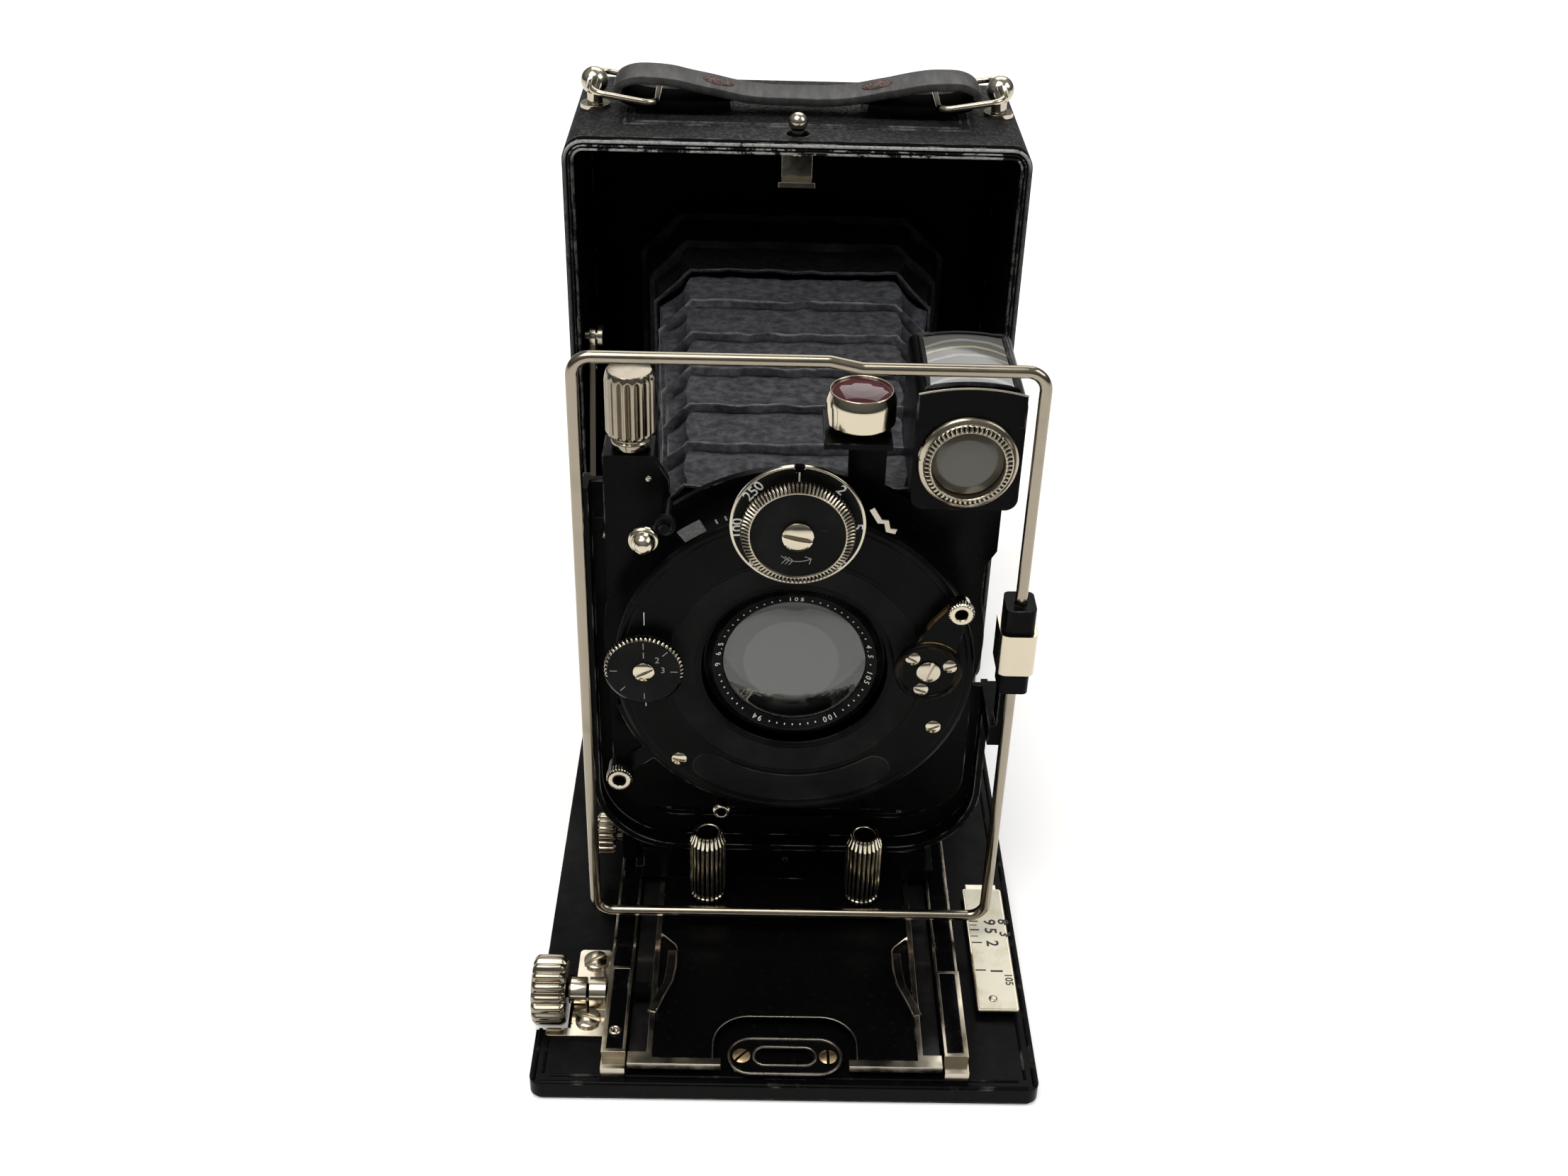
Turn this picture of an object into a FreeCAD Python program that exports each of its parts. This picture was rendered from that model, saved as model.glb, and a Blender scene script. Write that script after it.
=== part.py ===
"""Folding plate camera, 6.5 x 9 cm, with the bed open and the standard drawn out.

Each function makes one sub-assembly and saves its pieces, one STEP file per node.
Layout frame, in millimetres: X to the right as the camera is faced, Y from the body's
front plane into the body, Z up from the underside. On saving, every piece moves by
ORIGIN_SHIFT, so that the origin is the mouth of the tripod bush under the bed.
"""

import FreeCAD, Part
import math
import os

V = FreeCAD.Vector
X_AXIS, Y_AXIS, Z_AXIS = V(1, 0, 0), V(0, 1, 0), V(0, 0, 1)

# driving dimensions
BODY_WIDTH = 88.0
BODY_HEIGHT = 122.0
BODY_DEPTH = 40.0
WALL = 1.75
SKIN = 0.6                    # leather thickness
RIM_DEPTH = 1.6               # bare metal rim in front of the leather
CORNER = 4.0                  # body corner radius
BED_WIDTH = 84.0
BED_FRONT = -119.5
BED_REAR = -3.6
BED_TOP = 3.5
BUSH_Y = -40.0                # tripod bush on the bed
HINGE_Y, HINGE_Z = -1.8, 1.7  # bed hinge axis
FILM_Y = 38.0                 # rear wall in front of the plate
GATE_X, GATE_LOW, GATE_HIGH = 31.5, 15.5, 106.5

RAIL_TOP = 6.4                # top of the rails on the bed
BLOCK_TOP = 7.6               # top of each outer rail's front length, over the focusing shaft
RAIL_JOINT = -96.7            # where that front length begins
OUTER_RAIL = (26.3, 30.3)     # inside and outside faces, each side
INNER_RAIL = (22.0, 26.0)
PLATE_LOW, PLATE_HIGH = 5.0, 5.6

LENS_X, LENS_Z = 0.3, 61.4    # optical axis
FACE_Y = -83.0                # front of the shutter
SHUTTER_R = 29.4
BOARD_FRONT, BOARD_BACK = -73.2, -71.8
FRAME_FRONT, FRAME_BACK = -70.6, -69.4   # the U-shaped frame's plate
FRAME_HALF = 34.5
DIAL_Z = 90.3
WIRE_Y, WIRE_R = -85.5, 0.95
WIRE_LEFT, WIRE_RIGHT, WIRE_LOW, WIRE_HIGH = -33.6, 35.6, 10.2, 118.0

KNOB_Y, KNOB_Z, KNOB_R = -101.3, 6.3, 6.0
PINION_R = 1.6
SHAFT_TIP_R = 0.6             # the focusing shaft where it runs through the rail
RISE_X, RISE_Y = -26.5, -70.0
SHIFT_Y, SHIFT_Z = -67.8, 12.6
GRIP_X, GRIP_Y, GRIP_R = 14.0, -77.5, 3.25
FINDER_X, FINDER_Z = 25.6, 100.2
LEVEL_X, LEVEL_Y = 9.2, -78.0
POST_X, POST_Y, EYE_Z = 39.3, 20.0, 127.0
RING_BAR_X, RING_BAR_Z = 27.0, 125.0
LATCH_Y = 6.0
STUD_X, STUD_Y, STUD_Z = 40.6, 12.0, 77.0
STRUT_PIN_Y, STRUT_PIN_Z = -12.0, 6.5

ORIGIN_SHIFT = V(0, -BUSH_Y, 0)


# ---------------------------------------------------------------- helpers

def box(x0, x1, y0, y1, z0, z1):
    return Part.makeBox(x1 - x0, y1 - y0, z1 - z0, V(x0, y0, z0))


def rod(start, end, radius):
    start, end = V(*start), V(*end)
    return Part.makeCylinder(radius, (end - start).Length, start, end - start)


def tube(start, end, outer, inner):
    return rod(start, end, outer).cut(rod(start, end, inner))


def rounded(x0, x1, z0, z1, radius, y0, y1):
    """A rounded rectangle across X and Z, running from y0 to y1."""
    block = box(x0, x1, y0, y1, z0, z1)
    edges = [e for e in block.Edges if abs(e.Vertexes[0].X - e.Vertexes[1].X) < 1e-6
             and abs(e.Vertexes[0].Z - e.Vertexes[1].Z) < 1e-6]
    return block.makeFillet(radius, edges)


def slab(x0, x1, y0, y1, radius, z0, z1):
    """A rounded rectangle across X and Y, standing from z0 to z1."""
    block = box(x0, x1, y0, y1, z0, z1)
    edges = [e for e in block.Edges if abs(e.Vertexes[0].X - e.Vertexes[1].X) < 1e-6
             and abs(e.Vertexes[0].Y - e.Vertexes[1].Y) < 1e-6]
    return block.makeFillet(radius, edges)


def outline_xz(points, y0, y1):
    """A straight-sided outline of (x, z) points, running from y0 to y1."""
    corners = [V(x, y0, z) for x, z in points]
    face = Part.Face(Part.makePolygon(corners + corners[:1]))
    return face.extrude(V(0, y1 - y0, 0))


def bent_wire(points, bend, radius):
    """A round wire along straight runs joined by arcs of the given bend radius."""
    points = [V(*p) for p in points]
    edges, last = [], points[0]
    for before, corner, after in zip(points, points[1:], points[2:]):
        into = (corner - before).normalize()
        out = (after - corner).normalize()
        turn = into.getAngle(out)
        back = bend * math.tan(turn / 2)
        start, end = corner - into * back, corner + out * back
        inward = (out - into).normalize()
        middle = corner + inward * (bend / math.cos(turn / 2) - bend)
        edges.append(Part.makeLine(last, start))
        edges.append(Part.Arc(start, middle, end).toShape())
        last = end
    edges.append(Part.makeLine(last, points[-1]))
    section = Part.Wire(Part.makeCircle(radius, points[0], points[1] - points[0]))
    return Part.Wire(edges).makePipeShell([section], True, False)


def both_sides(shape):
    """The shape and its mirror image across the camera's middle."""
    return [shape, shape.mirror(V(0, 0, 0), X_AXIS)]


def join(*shapes):
    whole = shapes[0]
    for other in shapes[1:]:
        whole = whole.fuse(other)
    return whole.removeSplitter()


def save(node, *solids):
    shape = solids[0] if len(solids) == 1 else Part.makeCompound(list(solids))
    shape = shape.copy()
    shape.translate(ORIGIN_SHIFT)
    shape.exportStep("parts/" + node + ".step")


# ---------------------------------------------------------------- body

def body():
    half, metal = BODY_WIDTH / 2, BODY_WIDTH / 2 - SKIN
    inner = half - WALL
    top = BODY_HEIGHT - SKIN
    shell = join(rounded(-half, half, 0, BODY_HEIGHT, CORNER, 0, RIM_DEPTH),
                 rounded(-metal, metal, 0, top, CORNER - SKIN, RIM_DEPTH, BODY_DEPTH))
    shell = shell.cut(rounded(-inner, inner, WALL, BODY_HEIGHT - WALL, CORNER - WALL, -1, FILM_Y))
    shell = shell.cut(rounded(-GATE_X, GATE_X, GATE_LOW, GATE_HIGH, 1, FILM_Y - 1, BODY_DEPTH + 1))
    latch_hole = join(rod((0, LATCH_Y, 118), (0, LATCH_Y, 124), 1.3),
                      rod((0, LATCH_Y, 120.9), (0, LATCH_Y, 124), 2.2))
    shell = shell.cut(latch_hole)
    knuckles = [(-36, -22), (-7, 7), (22, 36)]
    for x0, x1 in knuckles:
        barrel = rod((x0, HINGE_Y, HINGE_Z), (x1, HINGE_Y, HINGE_Z), 1.4)
        web = box(x0, x1, HINGE_Y, 0.2, 0.4, 1.7)
        shell = shell.fuse(barrel).fuse(web)
        shell = shell.cut(rod((x0 - 1, HINGE_Y, HINGE_Z), (x1 + 1, HINGE_Y, HINGE_Z), 0.75))
    save("body_shell", shell.removeSplitter())

    skin = rounded(-half, half, 0, BODY_HEIGHT, CORNER, RIM_DEPTH, BODY_DEPTH)
    skin = skin.cut(rounded(-metal, metal, 0, top, CORNER - SKIN, RIM_DEPTH - 1, BODY_DEPTH + 1))
    skin = skin.cut(box(-half - 1, half + 1, 0, BODY_DEPTH + 1, -1, CORNER))
    skin = skin.cut(rod((0, LATCH_Y, 118), (0, LATCH_Y, 124), 2.2))
    save("body_leather", skin)

    save("hinge_pin", rod((-36, HINGE_Y, HINGE_Z), (36, HINGE_Y, HINGE_Z), 0.7))
    rail = box(INNER_RAIL[0], INNER_RAIL[1], 0.6, 32, WALL, 4.6)
    save("body_rails", *both_sides(rail))
    stud = join(rod((STUD_X - 1.0, STUD_Y, STUD_Z), (inner, STUD_Y, STUD_Z), 1.2),
                rod((STUD_X - 2.0, STUD_Y, STUD_Z), (STUD_X - 1.0, STUD_Y, STUD_Z), 2.2))
    save("strut_studs", *both_sides(stud))


def back():
    """Guide rails, and the focusing back that slides up out of them."""
    rail = join(box(37.8, 40, BODY_DEPTH, 46, 2.6, 119), box(36.2, 40, 44.8, 46, 2.6, 119))
    stop = box(-40, 40, BODY_DEPTH, 46, 0.6, 2.6)
    save("back_rails", join(stop, *both_sides(rail)))

    frame = box(-37.4, 37.4, 40.4, 44.4, 3, 119)
    frame = frame.cut(box(-30, 30, 40, 45, 16, 106)).cut(box(-33.05, 33.05, 40, 42.5, 12.95, 109.05))
    save("ground_glass_frame", frame)
    save("ground_glass", box(-33, 33, 40.9, 42.5, 13, 109))

    hood = rounded(-33, 33, 13, 109, 3, 44.4, 49).cut(rounded(-31.4, 31.4, 14.6, 107.4, 2, 44, 50))
    tabs = [box(x, x + 5, 46, 50.1, 109, 111.3) for x in (-25, 20)]
    barrels = [rod((x, 50.1, 110.5), (x + 5, 50.1, 110.5), 0.8) for x in (-25, 20)]
    save("focusing_hood", join(hood, *tabs, *barrels))
    lid = rounded(-33.5, 33.5, 12.5, 108.9, 3, 49.3, 50.9)
    pin = rod((-19.7, 50.1, 110.5), (19.7, 50.1, 110.5), 0.8)
    web = box(-19.7, 19.7, 49.7, 50.5, 108, 110.5)
    catch = box(-4, 4, 50.9, 52.3, 14, 18)
    save("hood_lid", join(lid, pin, web, catch))


def latch():
    stem = rod((0, LATCH_Y, 118), (0, LATCH_Y, 124), 1.2)
    ball = Part.makeSphere(1.85, V(0, LATCH_Y, 124.2))
    tongue = box(-2.9, 2.9, LATCH_Y - 0.8, LATCH_Y + 0.6, 113, 118.6)
    foot = box(-3.5, 3.5, LATCH_Y - 2.8, LATCH_Y + 0.6, 112.4, 113.4)
    save("latch", join(stem, ball, tongue, foot))


def strap_fittings():
    post = join(rod((POST_X, POST_Y, BODY_HEIGHT), (POST_X, POST_Y, BODY_HEIGHT + 0.8), 2.9),
                rod((POST_X, POST_Y, BODY_HEIGHT), (POST_X, POST_Y, 126), 1.5),
                Part.makeSphere(2.65, V(POST_X, POST_Y, EYE_Z)))
    post = post.cut(rod((POST_X, POST_Y - 4, EYE_Z), (POST_X, POST_Y + 4, EYE_Z), 1.5))
    save("strap_posts", *both_sides(post))

    # a rounded loop of wire, from the post's eye to the strap's end
    length = math.hypot(POST_X - RING_BAR_X, EYE_Z - RING_BAR_Z)
    half, start = 7.6, (POST_X, POST_Y, EYE_Z)
    loop = [start, (POST_X, POST_Y + half, EYE_Z), (POST_X - length, POST_Y + half, EYE_Z),
            (POST_X - length, POST_Y - half, EYE_Z), (POST_X, POST_Y - half, EYE_Z), start]
    ring = bent_wire(loop, 2.6, 0.6)
    droop = math.degrees(math.asin((EYE_Z - RING_BAR_Z) / length))
    ring.rotate(V(*start), Y_AXIS, -droop)
    right, left = both_sides(ring)
    save("right_ring", right)
    save("left_ring", left)


def strap():
    """Leather hand strap: high at its ends, low in the middle, folded back round each ring."""
    low, high, half_y, reach = 124.0, 127.2, 5.0, 35.3

    def band(offset):
        side = [V(-reach, POST_Y - half_y, high - 0.6 + offset),
                V(-reach * 0.78, POST_Y - half_y, high + offset),
                V(-reach * 0.35, POST_Y - half_y, low + 0.9 + offset),
                V(0, POST_Y - half_y, low + offset)]
        points = side + [V(-p.x, p.y, p.z) for p in reversed(side[:-1])]
        curve = Part.BSplineCurve()
        curve.interpolate(points)
        return curve.toShape()

    upper, lower = band(0.75), band(-0.75)
    ends = [Part.makeLine(upper.Vertexes[i].Point, lower.Vertexes[i].Point) for i in (0, -1)]
    face = Part.Face(Part.Wire(Part.__sortEdges__([upper, ends[1], lower, ends[0]])))
    strip = face.extrude(V(0, 2 * half_y, 0))
    fold = box(14, 29.5, POST_Y - half_y, POST_Y + half_y, 123.3, 126.4)
    fold = fold.makeFillet(1.2, [e for e in fold.Edges if abs(e.Vertexes[0].X - 29.5) < 0.1
                                 and abs(e.Vertexes[1].X - 29.5) < 0.1
                                 and abs(e.Vertexes[0].Z - e.Vertexes[1].Z) < 0.1])
    slot = box(RING_BAR_X - 1.2, RING_BAR_X + 1.2, POST_Y - 8, POST_Y + 8,
               RING_BAR_Z - 0.85, RING_BAR_Z + 0.85)
    whole = join(strip, *both_sides(fold))
    for gap in both_sides(slot):
        whole = whole.cut(gap)
    save("hand_strap", whole)


# ---------------------------------------------------------------- bed

def bed():
    half = BED_WIDTH / 2
    plate = slab(-half, half, BED_FRONT, BED_REAR, 2, SKIN, BED_TOP)
    plate = plate.cut(box(-half - 1, -36.8, KNOB_Y - KNOB_R - 0.4, KNOB_Y + KNOB_R + 0.4, 0, 5))
    plate = plate.cut(rod((0, BUSH_Y, 0), (0, BUSH_Y, 3.2), 7.05))
    for x0, x1 in [(-21.8, -7.2), (7.2, 21.8)]:
        barrel = rod((x0, HINGE_Y, HINGE_Z), (x1, HINGE_Y, HINGE_Z), 1.4)
        web = box(x0, x1, BED_REAR - 0.5, HINGE_Y, 1.6, 2.9)
        plate = plate.fuse(barrel).fuse(web)
        plate = plate.cut(rod((x0 - 1, HINGE_Y, HINGE_Z), (x1 + 1, HINGE_Y, HINGE_Z), 0.75))
    bracket = join(box(38.4, 39.6, STRUT_PIN_Y - 3, STRUT_PIN_Y + 3, BED_TOP - 0.5, 9),
                   rod((39.6, STRUT_PIN_Y, STRUT_PIN_Z), (41.6, STRUT_PIN_Y, STRUT_PIN_Z), 1.1))
    save("bed_plate", join(plate, *both_sides(bracket)))

    skin = slab(-half + 0.3, half - 0.3, BED_FRONT + 0.3, BED_REAR, 2, 0, SKIN)
    skin = skin.cut(box(-half - 1, -36.8, KNOB_Y - KNOB_R - 0.4, KNOB_Y + KNOB_R + 0.4, -1, 5))
    save("bed_leather", skin.cut(rod((0, BUSH_Y, -1), (0, BUSH_Y, 2), 7.05)))
    bush = rod((0, BUSH_Y, 0), (0, BUSH_Y, 3.2), 7.0).cut(rod((0, BUSH_Y, -1), (0, BUSH_Y, 4), 4.0))
    save("tripod_bush", bush)

    x0, x1 = OUTER_RAIL
    rail = box(x0, x1, -116, -6, BED_TOP, RAIL_TOP)
    rail = rail.fuse(box(x0, x1, -116, RAIL_JOINT, BED_TOP, BLOCK_TOP)).removeSplitter()
    rail = rail.cut(box(x0 + 0.45, x1 - 0.45, RAIL_JOINT + 0.6, -5, RAIL_TOP - 0.4, RAIL_TOP + 1))
    rail = rail.cut(box(x0 + 0.5, x1 - 0.8, -115.3, RAIL_JOINT - 0.6, BLOCK_TOP - 0.3, BLOCK_TOP + 1))
    inlays = [box(x0 + 0.5, x1 - 0.5, RAIL_JOINT + 0.65, -8, RAIL_TOP - 0.4, RAIL_TOP),
              box(x0 + 0.55, x1 - 0.85, -115.25, RAIL_JOINT - 0.65, BLOCK_TOP - 0.3, BLOCK_TOP)]
    shaft_hole = rod((-x1 - 1, KNOB_Y, KNOB_Z), (-x0 + 1, KNOB_Y, KNOB_Z), SHAFT_TIP_R + 0.2)
    save("outer_rails", rail, both_sides(rail)[1].cut(shaft_hole))
    save("rail_inlays", *both_sides(inlays[0]), *both_sides(inlays[1]))
    foot = box(x0, x1, -118.2, -116, BED_TOP, RAIL_TOP - 0.4)
    save("rail_feet", *both_sides(foot))

    bearing = join(slab(-36.2, -30.6, -107.2, -89.5, 0.8, BED_TOP, 4.2),
                   slab(-40.3, -34, -109.6, -107.9, 0.5, BED_TOP, 4.2),
                   box(-36.2, -30.6, -109.6, -107, BED_TOP, 4.2))
    arch = rod((-33.4, KNOB_Y, KNOB_Z), (-30.6, KNOB_Y, KNOB_Z), 2.3)
    bearing = join(bearing, arch.common(box(-34, -30, -110, -90, BED_TOP, 9)),
                   box(-33.4, -30.6, KNOB_Y - 2.3, KNOB_Y + 2.3, BED_TOP, KNOB_Z))
    bearing = bearing.cut(rod((-42, KNOB_Y, KNOB_Z), (-28, KNOB_Y, KNOB_Z), 1.25))
    save("bearing_plate", bearing)

    screws = [slotted_screw(-33.2, -92.3, 4.2, 2.1, 0.7, 35),
              slotted_screw(-33.4, -105.9, 4.2, 2.1, 0.7, -20)]
    screws += [slotted_screw(x, -113.8, 4.6, 1.5, 0.3, 90) for x in (-7.2, 7.2)]
    save("bed_screws", *screws)

    catch = slab(-9.6, 9.6, -117.8, -109.8, 3.9, BED_TOP, 4.6)
    save("catch_plate", catch.cut(slab(-5, 5, -115.6, -112, 1.7, 0, 6)))

    save("distance_scale", slab(33.2, 40.4, -103.4, -73, 0.4, 4.6, 5.2))
    bracket = join(box(34, 39.6, -74.4, -71.4, BED_TOP, 4.6), box(34, 39.6, -102, -99, BED_TOP, 4.6))
    save("scale_bracket", bracket)


def slotted_screw(x, y, z, radius, height, angle):
    """A screw head standing on a plate, with its slot turned by angle."""
    head = rod((x, y, z), (x, y, z + height), radius)
    slot = box(-radius - 1, radius + 1, -0.3, 0.3, z + height * 0.4, z + height + 1)
    slot.rotate(V(0, 0, 0), Z_AXIS, angle)
    slot.translate(V(x, y, 0))
    return head.cut(slot)


def struts():
    """Side struts: each turns on the bed's pin, and its slot runs on the body's stud."""
    lower, upper = V(0, STRUT_PIN_Y, STRUT_PIN_Z), V(0, STUD_Y, STUD_Z)
    length = (upper - lower).Length
    lean = math.degrees(math.atan2(STUD_Y - STRUT_PIN_Y, STUD_Z - STRUT_PIN_Z))
    x0, x1, slot_run = 40.0, 41.2, 6.0
    bar = box(x0, x1, -2, 2, 0, length)
    bar = bar.fuse(rod((x0, 0, 0), (x1, 0, 0), 2.4)).fuse(rod((x0, 0, length), (x1, 0, length), 2.6))
    bar = bar.cut(rod((x0 - 1, 0, 0), (x1 + 1, 0, 0), 1.15))
    bar = bar.cut(rod((x0 - 1, 0, length), (x1 + 1, 0, length), 1.4))
    bar = bar.cut(rod((x0 - 1, 0, length - slot_run), (x1 + 1, 0, length - slot_run), 1.4))
    bar = bar.cut(box(x0 - 1, x1 + 1, -1.4, 1.4, length - slot_run, length))
    bar = bar.removeSplitter()
    bar.rotate(V(0, 0, 0), X_AXIS, -lean)
    bar.translate(lower)
    right, left = both_sides(bar)
    save("right_strut", right)
    save("left_strut", left)


def focus_drive():
    knob = rod((-43, KNOB_Y, KNOB_Z), (-37.3, KNOB_Y, KNOB_Z), KNOB_R)
    flutes = 18
    for i in range(flutes):
        a = 2 * math.pi * i / flutes
        y, z = KNOB_Y + KNOB_R * math.cos(a), KNOB_Z + KNOB_R * math.sin(a)
        knob = knob.cut(rod((-44, y, z), (-37, y, z), 0.55))
    save("focus_knob", knob)
    shaft = join(rod((-37.3, KNOB_Y, KNOB_Z), (-30.8, KNOB_Y, KNOB_Z), 1.2),
                 rod((-30.8, KNOB_Y, KNOB_Z), (-25.6, KNOB_Y, KNOB_Z), SHAFT_TIP_R),
                 rod((-25.6, KNOB_Y, KNOB_Z), (-23.4, KNOB_Y, KNOB_Z), PINION_R - 0.05))
    save("focus_pinion", shaft)


def carriage():
    """The sliding frame that carries the standard, between the outer rails."""
    rear, front = -8, -115.8
    x0, x1 = INNER_RAIL
    plate = box(-x0, x0, front, rear, PLATE_LOW, PLATE_HIGH)
    plate = plate.cut(slab(-12, 12, front - 20, -106, 6, 0, 10))
    save("carriage_plate", plate)

    rail = join(box(x0, x1, front, rear, 3.8, KNOB_Z - PINION_R), box(x0, x0 + 0.9, front, rear, 3.8, 6.2))
    bar = box(10.6, x1, -117.2, front, 4.9, 6.2)
    ends = box(x0, x1, front - 0.2, front + 1.2, 3.8, 6.2)
    save("carriage_rails", *both_sides(join(rail, bar, ends)))


# ---------------------------------------------------------------- standard

def standard():
    tongue = slab(-21.7, 21.7, -83, -60, 1.5, 5.9, 6.9)
    crossbar = box(-27.5, 27.5, -73, -60, 6.9, 9.4)
    flange = box(-26, 26, -73, -71.5, 9.4, 13.8)
    bracket = box(-30, -27.5, SHIFT_Y - 2.2, SHIFT_Y + 2.2, 8.4, SHIFT_Z + 2.2)
    base = join(tongue, crossbar, flange, bracket)
    base = base.cut(rod((-31, SHIFT_Y, SHIFT_Z), (-27, SHIFT_Y, SHIFT_Z), 1.25))
    rivets = [rod((0, -73.4, z), (0, -73, z), 0.45) for z in (8.6, 11.8)]
    save("standard_base", join(base, *rivets))

    grip = rod((GRIP_X, GRIP_Y, 7.1), (GRIP_X, GRIP_Y, 22), GRIP_R)
    grip = grip.cut(rod((GRIP_X, GRIP_Y, 18), (GRIP_X, GRIP_Y, 23), 2.3))
    ribs = 22
    for i in range(ribs):
        a = 2 * math.pi * i / ribs
        x, y = GRIP_X + GRIP_R * math.cos(a), GRIP_Y + GRIP_R * math.sin(a)
        grip = grip.cut(rod((x, y, 7), (x, y, 20.4), 0.26))
    right, left = both_sides(grip)
    save("right_grip", right)
    save("left_grip", left)

    knob = rod((-34.9, SHIFT_Y, SHIFT_Z), (-31.2, SHIFT_Y, SHIFT_Z), 3.9)
    flutes = 16
    for i in range(flutes):
        a = 2 * math.pi * i / flutes
        y, z = SHIFT_Y + 3.9 * math.cos(a), SHIFT_Z + 3.9 * math.sin(a)
        knob = knob.cut(rod((-36, y, z), (-31, y, z), 0.4))
    spindle = rod((-31.2, SHIFT_Y, SHIFT_Z), (-8, SHIFT_Y, SHIFT_Z), 1.2)
    save("shift_knob", join(knob, spindle))


def u_frame():
    """The U-shaped frame: it shifts sideways on the base, and the lens board rises in it."""
    half, low, inside, lip = FRAME_HALF, 14.3, 29.2, 1.2
    outer = rounded(-half, half, low, 140, 15, FRAME_FRONT, FRAME_BACK)
    plate = outer.cut(rounded(-inside, inside, 20, 150, 10, FRAME_FRONT - 1, FRAME_BACK + 1))
    edge = rounded(-half, half, low, 140, 15, -73.6, -68.4)
    edge = edge.cut(rounded(-half + lip, half - lip, low + lip, 150, 15 - lip, -75, -67))
    frame = plate.fuse(edge)
    frame = frame.cut(box(-40, 0, -80, -60, 89.5, 160)).cut(box(0, 40, -80, -60, 50, 160))
    slider = box(-20, 20, FRAME_FRONT, FRAME_BACK, 9.8, 14.4)
    nut = box(-17, -12, FRAME_BACK, SHIFT_Y + 2.1, SHIFT_Z - 2, SHIFT_Z + 2)
    nut = nut.cut(rod((-18, SHIFT_Y, SHIFT_Z), (-11, SHIFT_Y, SHIFT_Z), 1.25))
    rise_nut = box(-30, -24.6, -71.4, -68, 80, 84)
    rise_nut = rise_nut.cut(rod((RISE_X, RISE_Y, 79), (RISE_X, RISE_Y, 85), 1.25))
    arm = box(half - 1.2, half + 1.8, -82, -69, 46, 50)
    post = box(half, half + 1.8, -82, -78, 50, 73)
    save("u_frame", join(frame, slider, nut, rise_nut, arm, post))

    clip = slab(WIRE_RIGHT - 2.4, WIRE_RIGHT + 2.4, -87.9, -82, 1, 61, 77)
    clip = clip.cut(rod((WIRE_RIGHT, WIRE_Y, 60), (WIRE_RIGHT, WIRE_Y, 78), WIRE_R + 0.05))
    band_cut = ring_block(WIRE_RIGHT - 3, WIRE_RIGHT + 3, -88.5, -81.9, 65, 72.5, 0.61)
    save("frame_clip", clip.cut(band_cut))
    save("clip_band", ring_block(WIRE_RIGHT - 3, WIRE_RIGHT + 3, -88.5, -82, 65, 72.5, 0.6))


def ring_block(x0, x1, y0, y1, z0, z1, wall):
    """A flat band bent round three sides of a block, open at its back."""
    outer = slab(x0, x1, y0, y1 + 3, 1.4, z0, z1)
    inner = slab(x0 + wall, x1 - wall, y0 + wall, y1 + 3, 0.8, z0 - 1, z1 + 1)
    return outer.cut(inner).common(box(x0 - 1, x1 + 1, y0 - 1, y1, z0 - 1, z1 + 1))


def wire_frame():
    """Wire viewing frame: its right-hand upright turns in the clip."""
    x0, x1, z0, z1, y = WIRE_LEFT, WIRE_RIGHT, WIRE_LOW, WIRE_HIGH, WIRE_Y
    path = [(x1, y, 70.5), (x1, y, z1 - 0.9), (8.6, y, z1 - 0.9), (3.9, y, z1 + 0.1),
            (x0, y, z1 + 0.1), (x0, y, z0), (x1, y, z0), (x1, y, 69.5)]
    save("wire_frame", bent_wire(path, 3.0, WIRE_R))


def lens_board():
    y0, y1 = BOARD_FRONT, BOARD_BACK
    panel = rounded(-30.9, 31.2, 24, 84, 8, y0, y1)
    disc = rod((LENS_X, y0, LENS_Z), (LENS_X, y1, LENS_Z), 32)
    ear = outline_xz([(-30.9, 60), (-30.9, 95.3), (-22.8, 95.3), (-20.4, 91), (-20, 84), (-20, 60)], y0, y1)
    ear_lip = box(-30.9, -22.8, y0, -66, 94.2, 95.3)
    ear_lip = ear_lip.cut(rod((RISE_X, RISE_Y, 90), (RISE_X, RISE_Y, 98), 1.25))
    arm = outline_xz([(8, 70), (8, 103), (14, 103), (14, 87.6), (33, 87.6), (33, 79), (31.2, 76), (31.2, 60),
                      (8, 60)], y0, y1)
    shelf = box(3.6, 14, -83.4, y1, 102.6, 103.6)
    finder_arm = join(box(20, 31, y0, -58, 86.6, 87.6), box(20, 31, -59.2, -58, 86.6, 104))
    pivot = rod((FINDER_X, -59.2, FINDER_Z), (FINDER_X, -57.4, FINDER_Z), 2.2)
    opening = rod((LENS_X, -90, LENS_Z), (LENS_X, -60, LENS_Z), 16.05)
    socket = tube((-11.6, -78.5, 27.2), (-11.6, y0, 27.2), 1.3, 0.7)
    release_stud = rod((-20.6, -82.4, 87.4), (-20.6, y0, 87.4), 0.9)
    board = join(panel, disc, ear, ear_lip, arm, shelf, finder_arm, pivot, socket, release_stud)
    save("lens_board", board.cut(opening))

    knob = rod((RISE_X, RISE_Y, 97.6), (RISE_X, RISE_Y, 109), 4.0)
    flutes = 16
    for i in range(flutes):
        a = 2 * math.pi * i / flutes
        x, y = RISE_X + 4.0 * math.cos(a), RISE_Y + 4.0 * math.sin(a)
        knob = knob.cut(rod((x, y, 97), (x, y, 108.2), 0.4))
    collar = rod((RISE_X, RISE_Y, 95.5), (RISE_X, RISE_Y, 97.6), 3.2)
    spindle = rod((RISE_X, RISE_Y, 70), (RISE_X, RISE_Y, 95.5), 1.2)
    save("rise_knob", join(knob, collar, spindle))


# ---------------------------------------------------------------- shutter and lens

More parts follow.
